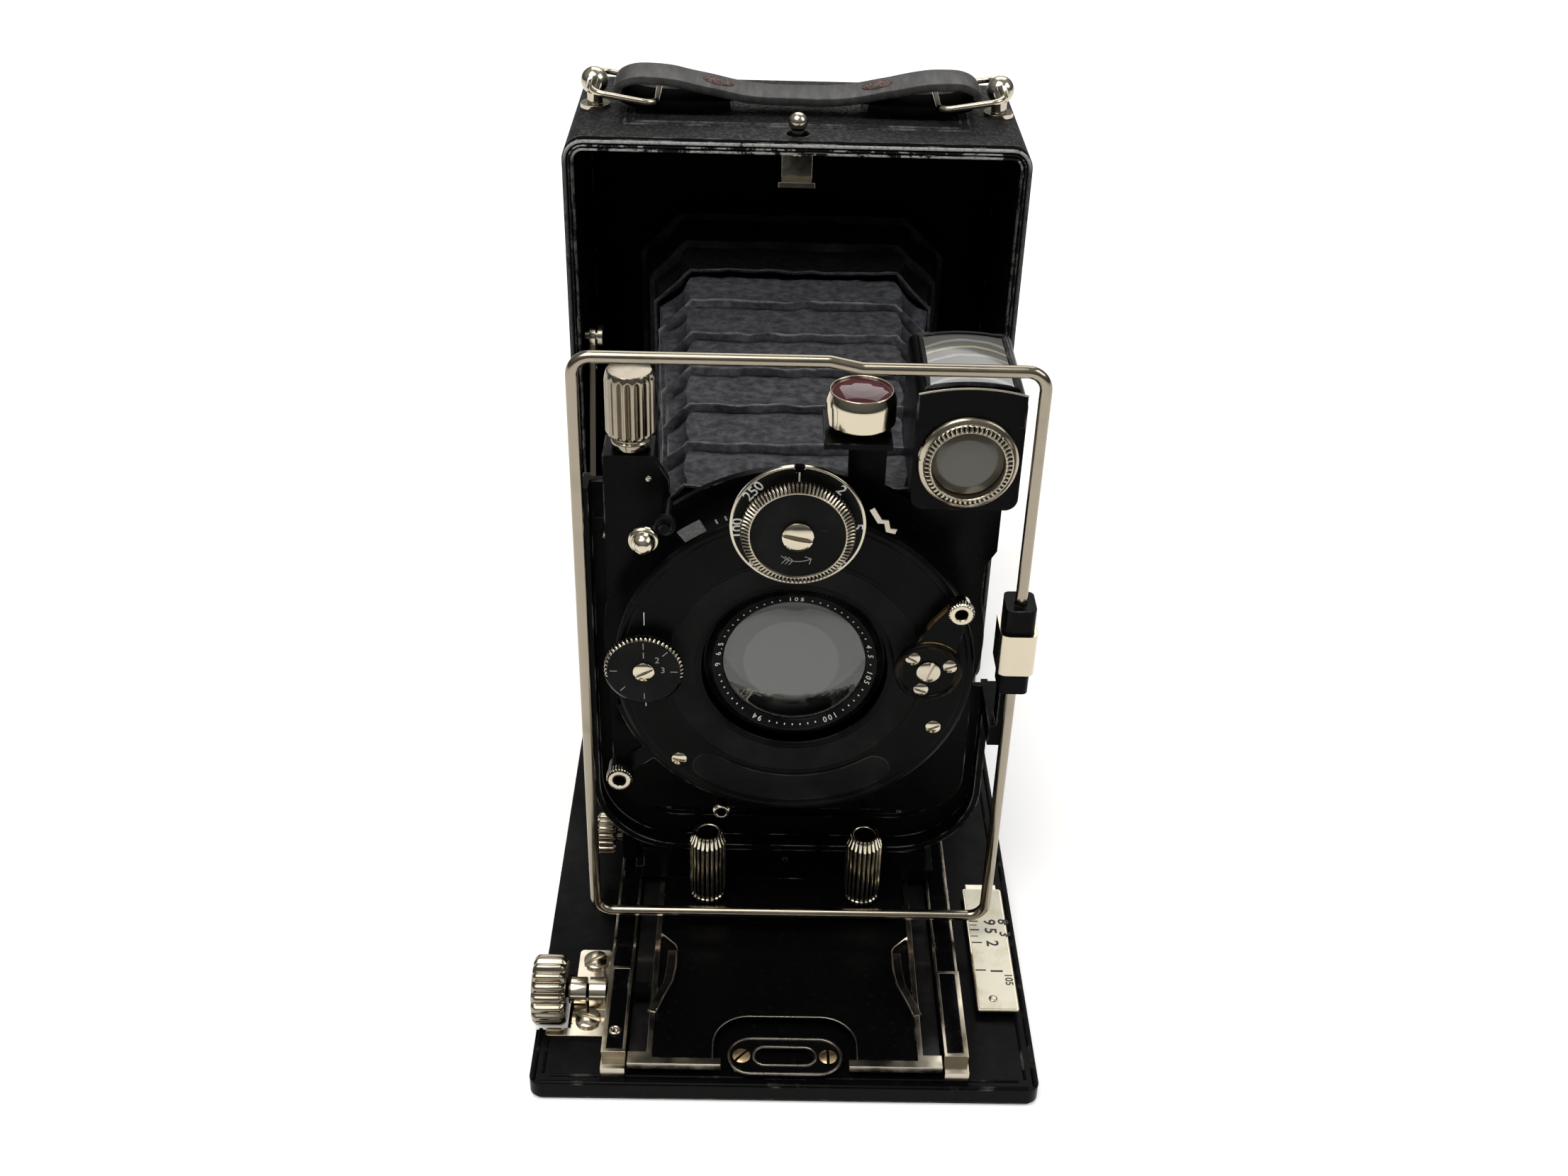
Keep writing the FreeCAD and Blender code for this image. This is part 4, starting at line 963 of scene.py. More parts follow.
def bed_screws():
    plate, catch = high("bearing_plate"), middle("catch_plate")
    floor = low("bearing_plate").z + 0.7
    bm = bmesh.new()
    screw(bm, (plate.x - 2.6, plate.y - 2.8, floor), Z, 2.15, 0.8, 35)
    screw(bm, (plate.x - 2.8, low("bearing_plate").y + 3.7, floor), Z, 2.15, 0.8, -20)
    add_piece("bearing_screws", bm, "bed", [NICKEL], ["bed_screws"])
    bm = bmesh.new()
    base = high("catch_plate").z - 0.15
    proud = min(0.4, low("carriage_plate").z - 0.1 - base)
    for x in (-7.2, 7.2):
        screw(bm, (x, catch.y, base), Z, 1.5, proud, 70 + 3 * x, dome=proud * 0.6)
    add_piece("catch_screws", bm, "bed", [BRASS])


def catch_trim():
    """Bright edges of the catch plate and of its slot, and the shutter-side edge of the plate."""
    lo, hi = low("catch_plate"), high("catch_plate")
    mid = (lo + hi) / 2
    bm = bmesh.new()
    for half_x, half_y, corner in ((hi.x - 0.25, (hi.y - lo.y) / 2 - 0.25, 3.7), (5.15, 1.95, 1.85)):
        loop = [Vector((mid.x + x, mid.y + y, hi.z)) for x, y in obround(half_x, half_y, corner, 8)]
        swept(bm, loop, circle(0.26, 6), closed=True)
    add_piece("catch_edges", bm, "bed", [DARK_NICKEL])

    bm = bmesh.new()
    plate = high("carriage_plate").z
    front = low("carriage_plate").y
    arc = [Vector((12 - 6 + 6 * math.cos(a), front + 9.8 - 6 + 6 * math.sin(a), plate))
           for a in [math.pi / 2 * k / 8 for k in range(9)]]
    line = [Vector((12, front + 0.4, plate))] + arc
    line += [Vector((-p.x, p.y, p.z)) for p in reversed(line)]
    swept(bm, line, circle(0.13, 6))
    add_piece("plate_cutout_edge", bm, "carriage", [DARK_NICKEL])


def bed_trim():
    """The rolled front edge of the bed and a small rivet."""
    lo, hi = low("bed_plate"), high("bed_plate")
    top = low("bearing_plate").z
    bm = bmesh.new()
    for inset, radius in ((0.55, 0.4), (2.0, 0.28)):
        reach = -low("bed_leather").x - inset
        points = [Vector((x, lo.y + inset, top + 0.22 - radius)) for x in (-reach + 1, 0, reach - 1)]
        swept(bm, points, circle(radius, 8))
        for sign in (-1, 1):
            far = low("bed_plate").y + 12 if sign < 0 else hi.y - 8
            points = [Vector((sign * (reach + 0.1), y, top + 0.22 - radius))
                      for y in (lo.y + inset + 0.5, far)]
            swept(bm, points, circle(radius, 8))
    add_piece("bed_edge_beads", bm, "bed", [ENAMEL])

    bm = bmesh.new()
    rail = low("outer_rails")
    turned(bm, [(0, 0.1), (0.5, 0.1), (0.5, 0.35), (0.75, 0.5), (1.0, 0.35), (1.05, 0)],
           aim((rail.x + 2, rail.y + 4.4, high("outer_rails").z), Z), 0.08, 24)
    add_piece("rail_rivet", bm, "bed", [NICKEL])


def leaf_guards():
    """Bent nickel leaves that stand on the plate beside the pinion."""
    plate, rail = high("carriage_plate").z, high("carriage_rails").z
    inner = 21.9
    far, near = middle("focus_knob").y + 13.5, middle("focus_knob").y - 4.5
    route = [(inner, far), (inner - 0.6, far - 0.5), (inner - 2.6, far - 2.6), (inner - 3.0, far - 3.6),
             (inner - 2.9, far - 8), (inner - 2.5, far - 11.5), (inner - 1.2, near + 3), (inner - 0.2, near)]
    bm = bmesh.new()
    for sign in (-1, 1):
        points = [Vector((sign * x, y, (plate + rail + 0.7) / 2)) for x, y in route]
        tall = (rail + 0.7 - plate) / 2
        swept(bm, points, [(-0.15, -tall), (0.15, -tall), (0.15, tall - 0.1), (0, tall), (-0.15, tall - 0.1)])
        spring = [Vector((sign * (x + 0.9), y, plate + 0.4)) for x, y in route[3:]]
        swept(bm, spring, [(-0.85, -0.2), (0.85, -0.2), (0.7, 0.3), (-0.7, 0.3)])
    add_piece("rail_leaves", bm, "carriage", [NICKEL])


def distance_scale():
    """Ivory scale in a nickel tray: focusing marks with their distances in metres."""
    lo, hi = low("distance_scale"), high("distance_scale")
    mid = (lo + hi) / 2
    half = (hi - lo) / 2
    bm = bmesh.new()
    tray = [(x, y) for x, y in obround(half.x, half.y, 0.5, 3)]
    extruded(bm, tray, half.z * 2 - 0.1, aim((mid.x, mid.y, lo.z), Z), 0.12)
    add_piece("scale_tray", bm, "bed", [NICKEL], ["distance_scale"])
    bm = bmesh.new()
    extruded(bm, obround(half.x - 0.35, half.y - 0.35, 0.3, 3), 0.2,
             aim((mid.x, mid.y, hi.z - 0.16), Z), 0.06)
    add_piece("scale_plate", bm, "bed", [IVORY])

    top = aim((mid.x, lo.y, hi.z + 0.03), Z)
    bm = bmesh.new()
    left = -half.x + 0.5
    turned_right = Matrix.Rotation(-math.pi / 2, 4, "Z")
    marks = [(9.4, "1", 3.0), (16.2, "2", 3.0), (19.4, "5", 2.6), (21.6, "9", 2.6)]
    for y, figure, length in marks:
        stroke(bm, (left, y), (left + length * 0.62, y), 0.3, top)
        lettering(bm, figure, 3.0, top @ Matrix.Translation((left + 3.6, y - 0.2, 0)) @ turned_right,
                  weight=0.02)
    for y in (17.8, 20.6, 22.6, 23.5, 24.4):
        stroke(bm, (left, y), (left + 1.3, y), 0.2, top)
    for y, figure in ((18.4, "3"), (21.6, "8")):
        lettering(bm, figure, 2.7, top @ Matrix.Translation((left + 6.1, y, 0)) @ turned_right, weight=0.02)
    lettering(bm, "105", 1.9, top @ Matrix.Translation((left + 5.6, 7.2, 0)) @ turned_right, weight=0.02)
    add_piece("scale_marks", bm, "bed", [INK])
    bm = bmesh.new()
    turned(bm, [(0.75, 0), (0.75, 0.18), (0.5, 0.3), (0, 0.32)], aim((mid.x - 0.7, lo.y + 2.6, hi.z), Z),
           0.08, 24)
    add_piece("scale_rivet", bm, "bed", [DARK_NICKEL])


# ---------------------------------------------------------------- standard

def grips():
    for side in ("left", "right"):
        lo, hi = low(side + "_grip"), high(side + "_grip")
        mid, radius, tall = (lo + hi) / 2, (hi.x - lo.x) / 2, hi.z - lo.z
        bm = bmesh.new()
        profile = [(0, 0), (radius - 0.35, 0), (radius - 0.1, 0.5), (radius - 0.1, 1.0), (radius - 0.4, 1.2),
                   (radius - 0.35, 1.5), (radius, 2.0, 0.3), (radius, tall - 2.0, 0.3),
                   (radius - 0.45, tall - 0.9, 0.1), (radius - 0.8, tall), (radius - 1.3, tall - 0.1),
                   (radius - 1.5, tall - 0.6), (radius - 1.55, tall - 4), (0, tall - 4)]
        milling = milled(side + "_grip_milling", mid, "Z", 22, (2.2, 9.0), tint=(0.75, 0.68, 0.53))
        turned(bm, profile, aim((mid.x, mid.y, lo.z), Z), 0.14, 22 * 8, flutes(22, 1.1),
               sectors=lambda a, b: 1 if min(a.x, b.x) < radius - 1.4 and min(a.y, b.y) > 2 else 0)
        add_piece(side + "_fluted_grip", bm, side + "_grip", [milling, MATT_BLACK],
                  [side + "_grip"])


def spindle_knobs():
    lo, hi = low("rise_knob"), high("rise_knob")
    mid = (lo + hi) / 2
    bm = bmesh.new()
    base, tall = 27.6, hi.z - lo.z
    profile = [(0, 0), (1.2, 0), (1.2, base - 2), (3.1, base - 1.9), (3.2, base - 0.7), (2.8, base - 0.4),
               (2.9, base), (3.7, base + 0.3, 0.3), (4.0, base + 0.8, 0.85), (4.0, tall - 1.6, 0.85),
               (3.9, tall - 1.0, 0.1), (3.55, tall - 0.1), (0, tall)]
    turned(bm, profile, aim((mid.x, mid.y, lo.z), Z), 0.16, 16 * 12, flutes(16, 2.2))
    add_piece("fluted_rise_knob", bm, "rise_knob", [KNOB_NICKEL], ["rise_knob"])

    lo, hi = low("shift_knob"), high("shift_knob")
    mid = (lo + hi) / 2
    bm = bmesh.new()
    profile = [(0, 0), (1.2, 0), (1.2, hi.x - lo.x - 3.7), (3.4, hi.x - lo.x - 3.7, 0.3),
               (3.9, hi.x - lo.x - 3.2, 0.7), (3.9, hi.x - lo.x - 0.6, 0.7), (3.3, hi.x - lo.x),
               (0, hi.x - lo.x)]
    turned(bm, profile, aim((hi.x, mid.y, mid.z), -X), 0.16, 16 * 12, flutes(16, 2.0))
    add_piece("fluted_shift_knob", bm, "shift_knob", [KNOB_NICKEL], ["shift_knob"])


def frame_trim():
    """Rubbed plate, screw and rivet on the standard's left arm and ear."""
    lo = low("u_frame")
    edge = -70.6 + 40
    bm = bmesh.new()
    extruded(bm, [(-2.3, -3.6), (2.3, -3.6), (2.3, 3.4), (-2.3, 3.4)], 0.25,
             aim((lo.x + 3.7, edge, 86.0), -Y), 0.1)
    add_piece("arm_plate", bm, "u_frame", [GREY_ENAMEL])
    bm = bmesh.new()
    screw(bm, (lo.x + 3.6, edge, 79.2), -Y, 0.8, 0.4, 30, dome=0.2)
    add_piece("arm_screw", bm, "u_frame", [DARK_NICKEL])
    bm = bmesh.new()
    turned(bm, [(0.55, 0), (0.5, 0.2), (0, 0.32)], aim((-23.6, low("lens_board").y + 10.2, 91.3), -Y), 0.05,
           16)
    add_piece("ear_rivet", bm, "lens_board", [DARK_NICKEL])


# ---------------------------------------------------------------- shutter

def shutter_face():
    setting = aim(LENS, -Y)
    bm = bmesh.new()
    profile = [(15.3, -0.8), (15.3, -0.62), (15.9, -0.35), (16.5, -0.5), (16.9, -0.42), (20.6, -0.04),
               (20.9, 0.1), (21.3, 0.1), (21.6, 0.0), (27.9, 0.0), (28.1, -0.12), (28.3, 0.0), (28.8, 0.0),
               (29.4, -0.35), (29.4, -0.8), (15.3, -0.8)]
    turned(bm, profile, setting, 0.08, 192,
           sectors=lambda a, b: 1 if 16.3 < min(a.x, b.x) and max(a.x, b.x) < 20.8 and a.y > -0.7 else 0)
    add_piece("shutter_plate", bm, "lens_board", [FACE_BLACK, BAND_BLACK],
              ["shutter_face"], sharp_deg=25)

    bm = bmesh.new()
    for x, z, turn in ((-18.7, 42.7, -12), (23.8, 50.4, 25)):
        screw(bm, (x, LENS.y + 0.1, z), -Y, 1.3, 0.5, turn)
    add_piece("face_screws", bm, "lens_board", [BRIGHT_NICKEL])

    # blank panel under the lens
    middle_r, half_width, spread = 24.5, 2.7, 35
    outline = []
    for k in range(33):
        outline.append(tuple(polar(middle_r + half_width, -90 - spread + 2 * spread * k / 32)))
    for end, sense in ((-90 + spread, 1), (-90 - spread, -1)):
        hub = polar(middle_r, end)
        for k in range(1, 10):
            outline.append(tuple(hub + polar(half_width, end + (0 if sense > 0 else 180) + 180 * k / 10)))
        if sense > 0:
            for k in range(33):
                outline.append(tuple(polar(middle_r - half_width, -90 + spread - 2 * spread * k / 32)))
    bm = bmesh.new()
    extruded(bm, outline, 0.12, setting, 0.08)
    add_piece("blank_panel", bm, "lens_board", [BAND_BLACK])

    bm = bmesh.new()
    local = Vector((-24.1 - LENS.x, 62.9 - LENS.z))
    for start, end, width in (((0, 6.9), (0, 9.4), 0.16), ((0, -7.0), (0, -9.2), 0.16),
                              ((-0.9, -7.2), (0.9, -7.2), 0.3)):
        stroke(bm, local + Vector(start), local + Vector(end), width, setting)
    add_piece("face_marks", bm, "lens_board", [WHITE_INK])


def ring_knob(bm, at, radius, height):
    """A hollow pin knob with a milled edge."""
    profile = [(0, 0), (radius * 0.8, 0), (radius * 0.8, height * 0.5), (radius, height * 0.6, 0.16),
               (radius, height * 0.9, 0.16), (radius * 0.82, height), (radius * 0.52, height),
               (radius * 0.42, height * 0.85), (radius * 0.42, height * 0.55), (0, height * 0.55)]
    turned(bm, profile, aim(at, -Y), 0.1, 26 * 6, flutes(26, 1.0),
           sectors=lambda a, b: 1 if max(a.x, b.x) < radius * 0.5 and a.y > 0.1 else 0)


def speed_dial():
    base = high("speed_dial").y
    radius = (high("speed_dial").x - low("speed_dial").x) / 2
    setting = aim((DIAL.x, base, DIAL.z), -Y)

    def notch(a):
        return 1.0 if abs(a - math.pi / 2) < 0.06 else 0.0

    bm = bmesh.new()
    profile = [(0, 0), (radius - 0.3, 0), (radius, 0.25, 0.7), (radius, 0.85, 0.7),
               (radius - 0.25, 1.02, 0.5), (radius - 0.45, 0.95, 0.3), (0, 0.95)]
    turned(bm, profile, setting, 0.06, 240, notch,
           sectors=lambda a, b: 0 if max(a.x, b.x) > radius - 0.42 else 1)
    add_piece("dial_disc", bm, "speed_dial", [NICKEL, DIAL_BLACK], ["speed_dial"])

    bm = bmesh.new()
    face = setting @ Matrix.Translation((0, 0, 0.97))
    figures = ("1", "2", "5", "10", "25", "50", "100", "250")
    for i, figure in enumerate(figures):
        turn = 90 - 44.5 * i
        place = (face @ Matrix.Translation((*polar(9.15, turn), 0))
                 @ Matrix.Rotation(math.radians(turn - 90), 4, "Z"))
        if i:
            lettering(bm, figure, 2.4, place, weight=0.008)
    stroke(bm, (0, 7.9), (0, 10.0), 0.26, face)
    stroke(bm, (0, 10.0), (-0.55, 9.5), 0.2, face)
    add_piece("dial_figures", bm, "speed_dial", [WHITE_INK])

    bm = bmesh.new()
    extruded(bm, [(-0.62, radius - 0.95), (0.62, radius - 0.95), (0.62, radius - 0.02),
                  (-0.62, radius - 0.02)], 1.06,
             aim((DIAL.x, base, DIAL.z), -Y), 0.03)
    add_piece("dial_index", bm, "speed_dial", [MATT_BLACK])

    front = low("speed_dial_ring").y + 0.9
    setting = aim((DIAL.x, front, DIAL.z), -Y)
    outer, back = 8.9, front - low("speed_dial").y
    bm = bmesh.new()
    profile = [(0, back), (7.2, back), (7.2, -1.7), (outer - 0.3, -1.5), (outer, -1.3, 0.4),
               (outer - 0.1, -0.55, 0.5), (7.7, -0.04, 0.3), (7.5, 0.0), (7.35, -0.03), (7.25, -0.35),
               (0, -0.35)]
    turned(bm, profile, setting, 0.05, 84 * 6, flutes(84, 0.9),
           sectors=lambda a, b: 1 if max(a.x, b.x) < 7.28 and a.y > -0.5 else 0)
    screw_at = (DIAL.x, front + 0.35, DIAL.z)
    milling = milled("dial_milling", DIAL, "Y", 84, (7.62, 20))
    add_piece("dial_ring", bm, "speed_dial", [milling, DIAL_BLACK], ["speed_dial_ring"],
              sharp_deg=30)
    bm = bmesh.new()
    screw(bm, screw_at, -Y, 2.45, 1.05, -12, dome=0.45)
    add_piece("dial_screw", bm, "speed_dial", [BRIGHT_NICKEL])
    bm = bmesh.new()
    inner = setting @ Matrix.Translation((0, 0, -0.34))
    for k in range(7):          # a curved arrow that says which way to turn
        a, b = -112 + 7 * k, -105 + 7 * k
        stroke(bm, polar(4.6, a), polar(4.6, b), 0.13, inner)
    tip = polar(4.6, -62)
    stroke(bm, tip, tip + Vector((-1.0, 0.35)), 0.13, inner)
    stroke(bm, tip, tip + Vector((-0.3, -1.0)), 0.13, inner)
    tail = polar(4.6, -112)
    for shift in (0, 0.55, 1.1):
        root = tail + Vector((shift, -shift * 0.18))
        stroke(bm, root, root + Vector((-0.75, 0.65)), 0.11, inner)
        stroke(bm, root, root + Vector((-0.65, -0.75)), 0.11, inner)
    add_piece("dial_arrow", bm, "speed_dial", [FAINT_INK])


def mode_dial():
    lo, hi = low("mode_dial"), high("mode_dial")
    mid, radius = (lo + hi) / 2, (hi.x - lo.x) / 2
    setting = aim((mid.x, hi.y, mid.z), -Y)
    teeth = flutes(52, 1.2)
    bm = bmesh.new()
    profile = [(0, 0), (radius - 0.3, 0), (radius, 0.4, 0.35), (radius, 1.2, 0.35),
               (radius - 0.45, 1.58, 0.12), (radius - 0.6, 1.5), (0, 1.5)]
    turned(bm, profile, setting, 0.07, 52 * 6, lambda a: teeth(a) if math.sin(a) > -0.25 else 0.0,
           sectors=lambda a, b: 0 if min(a.x, b.x) > radius - 0.5 and min(a.y, b.y) > 0.3 else 1)
    milling = milled("mode_milling", mid, "Y", 52, upper=True)
    add_piece("mode_disc", bm, "mode_dial", [milling, DIAL_BLACK], ["mode_dial"])
    bm = bmesh.new()
    screw(bm, (mid.x, hi.y - 1.5, mid.z), -Y, 1.75, 0.6, 28)
    add_piece("mode_screw", bm, "mode_dial", [BRIGHT_NICKEL])
    bm = bmesh.new()
    face = setting @ Matrix.Translation((0, 0, 1.5))
    for turn in (90, 45, 0, 180, 225, 270):
        stroke(bm, polar(4.3, turn), polar(5.5, turn), 0.14, face)
    for i, turn in enumerate((90, 45, 5)):
        lettering(bm, str(i + 1), 1.6, face @ Matrix.Translation((*polar(3.1, turn), 0)))
    add_piece("mode_figures", bm, "mode_dial", [FAINT_INK])


def release_lever():
    """A thin black arm with a bright round knob in a collar."""
    lo, hi = low("release_lever"), high("release_lever")
    knob = Vector((lo.x + 2.25, hi.y - 0.2, lo.z + 2.25))
    pivot = Vector((hi.x - 1.7, hi.y, hi.z - 1.7))
    arm = Vector((knob.x - pivot.x, knob.z - pivot.z))
    side = Vector((-arm.y, arm.x)).normalized() * 0.7
    bm = bmesh.new()
    turned(bm, [(0.95, 0), (1.7, 0), (1.7, 1.0), (1.5, 1.2), (0.95, 1.2), (0.95, 0)], aim(pivot, -Y), 0.1, 36)
    inner = arm.normalized() * 1.2
    extruded(bm, [tuple(inner - side), tuple(arm - side), tuple(arm + side), tuple(inner + side)], 0.8,
             aim(pivot, -Y) @ Matrix.Translation((0, 0, 0.2)), 0.12)
    add_piece("release_arm", bm, "release_lever", [GREY_ENAMEL], ["release_lever"])
    bm = bmesh.new()
    turned(bm, [(0, 0), (1.2, 0), (1.2, 0.9), (2.3, 1.2), (2.45, 1.6), (2.4, 2.1), (2.1, 2.4), (1.9, 2.45),
                (1.85, 2.7), (1.75, 3.3), (1.3, 4.0), (0.7, 4.4), (0, 4.55)], aim(knob, -Y), 0.12, 48)
    add_piece("release_knob", bm, "release_lever", [BRIGHT_NICKEL], sharp_deg=25)


def rim_details():
    """Rubbed plate, index marks and a bent spring on the rim of the shutter housing."""
    setting = aim((LENS.x, LENS.y + 0.75, LENS.z), -Y)
    inner, outer = 29.75, 31.9
    start, end = 119.0, 126.5
    outline = [tuple(polar(inner, start + (end - start) * k / 4)) for k in range(5)]
    outline += [tuple(polar(outer, end - (end - start) * k / 4)) for k in range(5)]
    bm = bmesh.new()
    extruded(bm, outline, 0.3, setting, 0.06)
    add_piece("rim_plate", bm, "lens_board", [RUBBED_PLATE])
    bm = bmesh.new()
    for turn in (103, 106, 109, 112, 115):
        stroke(bm, polar(30.0, turn), polar(30.8, turn), 0.3, setting)
    add_piece("rim_marks", bm, "lens_board", [FAINT_INK])
    bm = bmesh.new()
    route = [polar(*at) for at in ((32.6, 70), (31.2, 66.5), (31.4, 64.5), (30.4, 63), (30.6, 60.5))]
    points = [setting @ Vector((p.x, p.y, 0.35 + 0.35 * (k % 2))) / MM for k, p in enumerate(route)]
    swept(bm, points, [(-0.45, -0.15), (0.45, -0.15), (0.45, 0.15), (-0.45, 0.15)], side=Y)
    add_piece("rim_spring", bm, "lens_board", [DARK_NICKEL])


def levers():
    lever_hi = high("cocking_lever")
    pivot = Vector((21.9, lever_hi.y, 63.6))
    tip = Vector((26.1, lever_hi.y, 76.1))
    setting = aim(pivot, -Y)
    bm = bmesh.new()
    turned(bm, [(0, 0), (5.5, 0), (5.5, 1.25), (5.15, 1.6), (4.8, 1.55), (4.5, 1.15), (0, 1.05)], setting,
           0.12, 96)
    reach = Vector((tip.x - pivot.x, tip.z - pivot.z))
    along = reach.normalized()
    side = Vector((along.y, -along.x))
    outline = [side * 3.6 + along * 1, side * 2.6 + along * 8, side * 1.6 + along * 12.4,
               side * 0.9 + along * 14.3,
               side * -0.9 + along * 14.3, side * -1.6 + along * 12.6, side * -3.1 + along * 8.6,
               side * -3.9 + along * 4]
    extruded(bm, [tuple(p) for p in outline], 0.8, setting, 0.2)
    add_piece("cocking_leaf", bm, "cocking_lever", [LEVER_ENAMEL], ["cocking_lever"])
    bm = bmesh.new()
    screw(bm, (pivot.x, pivot.y - 1.05, pivot.z), -Y, 1.95, 0.65, 70)
    for dx, dz, turn in ((-2.7, 2.5, -30), (3.5, 1.1, 20), (-1.0, -3.6, -20)):
        screw(bm, (pivot.x + dx, pivot.y - 1.0, pivot.z + dz), -Y, 1.25, 0.5, turn)
    add_piece("lever_screws", bm, "cocking_lever", [NICKEL])
    bm = bmesh.new()
    ring_knob(bm, tip, 2.1, 3.4)
    add_piece("cocking_knob", bm, "cocking_lever", [BRIGHT_NICKEL, MATT_BLACK])
    bm = bmesh.new()
    ring_knob(bm, (-28.8, -80.4 + 40, 39.0), 2.25, 4.3)
    add_piece("aperture_knob", bm, "aperture_lever", [NICKEL, MATT_BLACK])
    bm = bmesh.new()
    turned(bm, [(0.72, 0), (1.35, 0), (1.35, 3.6), (1.6, 3.9), (1.6, 4.9), (1.3, 5.35), (0.9, 5.35),
                (0.72, 5.1), (0.72, 0)],
           aim((-11.6, -73.2 + 40, 27.2), -Y), 0.1, 28)
    add_piece("cable_ferrule", bm, "lens_board", [NICKEL])


# ---------------------------------------------------------------- lens, finder and level

def lens():
    base = -79.2 + 40
    setting = aim((LENS.x, base, LENS.z), -Y)
    bm = bmesh.new()
    profile = [(15.15, -0.9), (15.15, 0.6), (14.9, 1.0), (14.55, 1.0), (14.35, 1.35, 0.25),
               (13.75, 1.95, 0.25), (13.5, 2.05), (13.2, 1.95), (11.95, 1.42), (11.78, 1.2), (11.78, -0.9),
               (15.15, -0.9)]
    turned(bm, profile, setting, 0.08, 120 * 4, flutes(120, 1.0))
    rear = aim((LENS.x, base, LENS.z), Y)
    turned(bm, [(11.0, 2.2), (13.0, 2.2), (13.0, 16.6), (12.4, 17.2), (11.2, 17.2), (11.0, 16.8),
                (11.0, 2.2)], rear, 0.15, 96)
    turned(bm, [(13.05, 7.4), (16.6, 7.4), (16.6, 9.4), (13.05, 9.4), (13.05, 7.4)], rear, 0.15, 96)
    add_piece("lens_mounts", bm, "lens_board", [BARREL_BLACK], ["lens_barrel"], sharp_deg=28)

    bm = bmesh.new()
    cone = math.atan2(1.95 - 1.42, 13.2 - 11.95)
    def on_band(turn):
        return (setting @ Matrix.Rotation(math.radians(turn - 90), 4, "Z")
                @ Matrix.Translation((0, 12.58, 1.72))
                @ Matrix.Rotation(cone, 4, "X"))
    words = (("4.5", 12), ("105", -12), ("6.5", 168), ("9", 182), ("100", -60), ("94", -118), ("105", 90))
    for figure, turn in words:
        for k, glyph in enumerate(figure):
            lettering(bm, glyph, 1.35, on_band(turn - 4.4 * (k - (len(figure) - 1) / 2)))
    for turn in range(0, 360, 6):
        if min(abs((turn - w[1] + 180) % 360 - 180) for w in words) > 9:
            extruded(bm, obround(0.1, 0.16, 0.08, 2), 0.03, on_band(turn), 0.01)
    add_piece("lens_figures", bm, "lens_board", [WHITE_INK])

    def bulging(bm, rim, back, radius, bulge, hollow):
        steps = 16
        front = [(radius * (1 - k / steps), rim + bulge * (1 - (1 - k / steps) ** 2))
                 for k in range(steps + 1)]
        rear = [(radius * k / steps, back + hollow * (1 - (k / steps) ** 2)) for k in range(steps + 1)]
        turned(bm, rear + front, setting, 0.01, 96)

    bm = bmesh.new()
    bulging(bm, 1.25, 0.75, 11.72, 1.9, 1.75)
    add_piece("front_glass", bm, "lens_board", [LENS_GLASS], ["lens_elements"], sharp_deg=60)
    bm = bmesh.new()
    turned(bm, [(0, 13.6), (10.9, 13.3), (10.9, 14.6), (6, 15.4), (0, 15.7)], rear, 0.05, 72)
    add_piece("rear_glass", bm, "lens_board", [LENS_GLASS], sharp_deg=60)


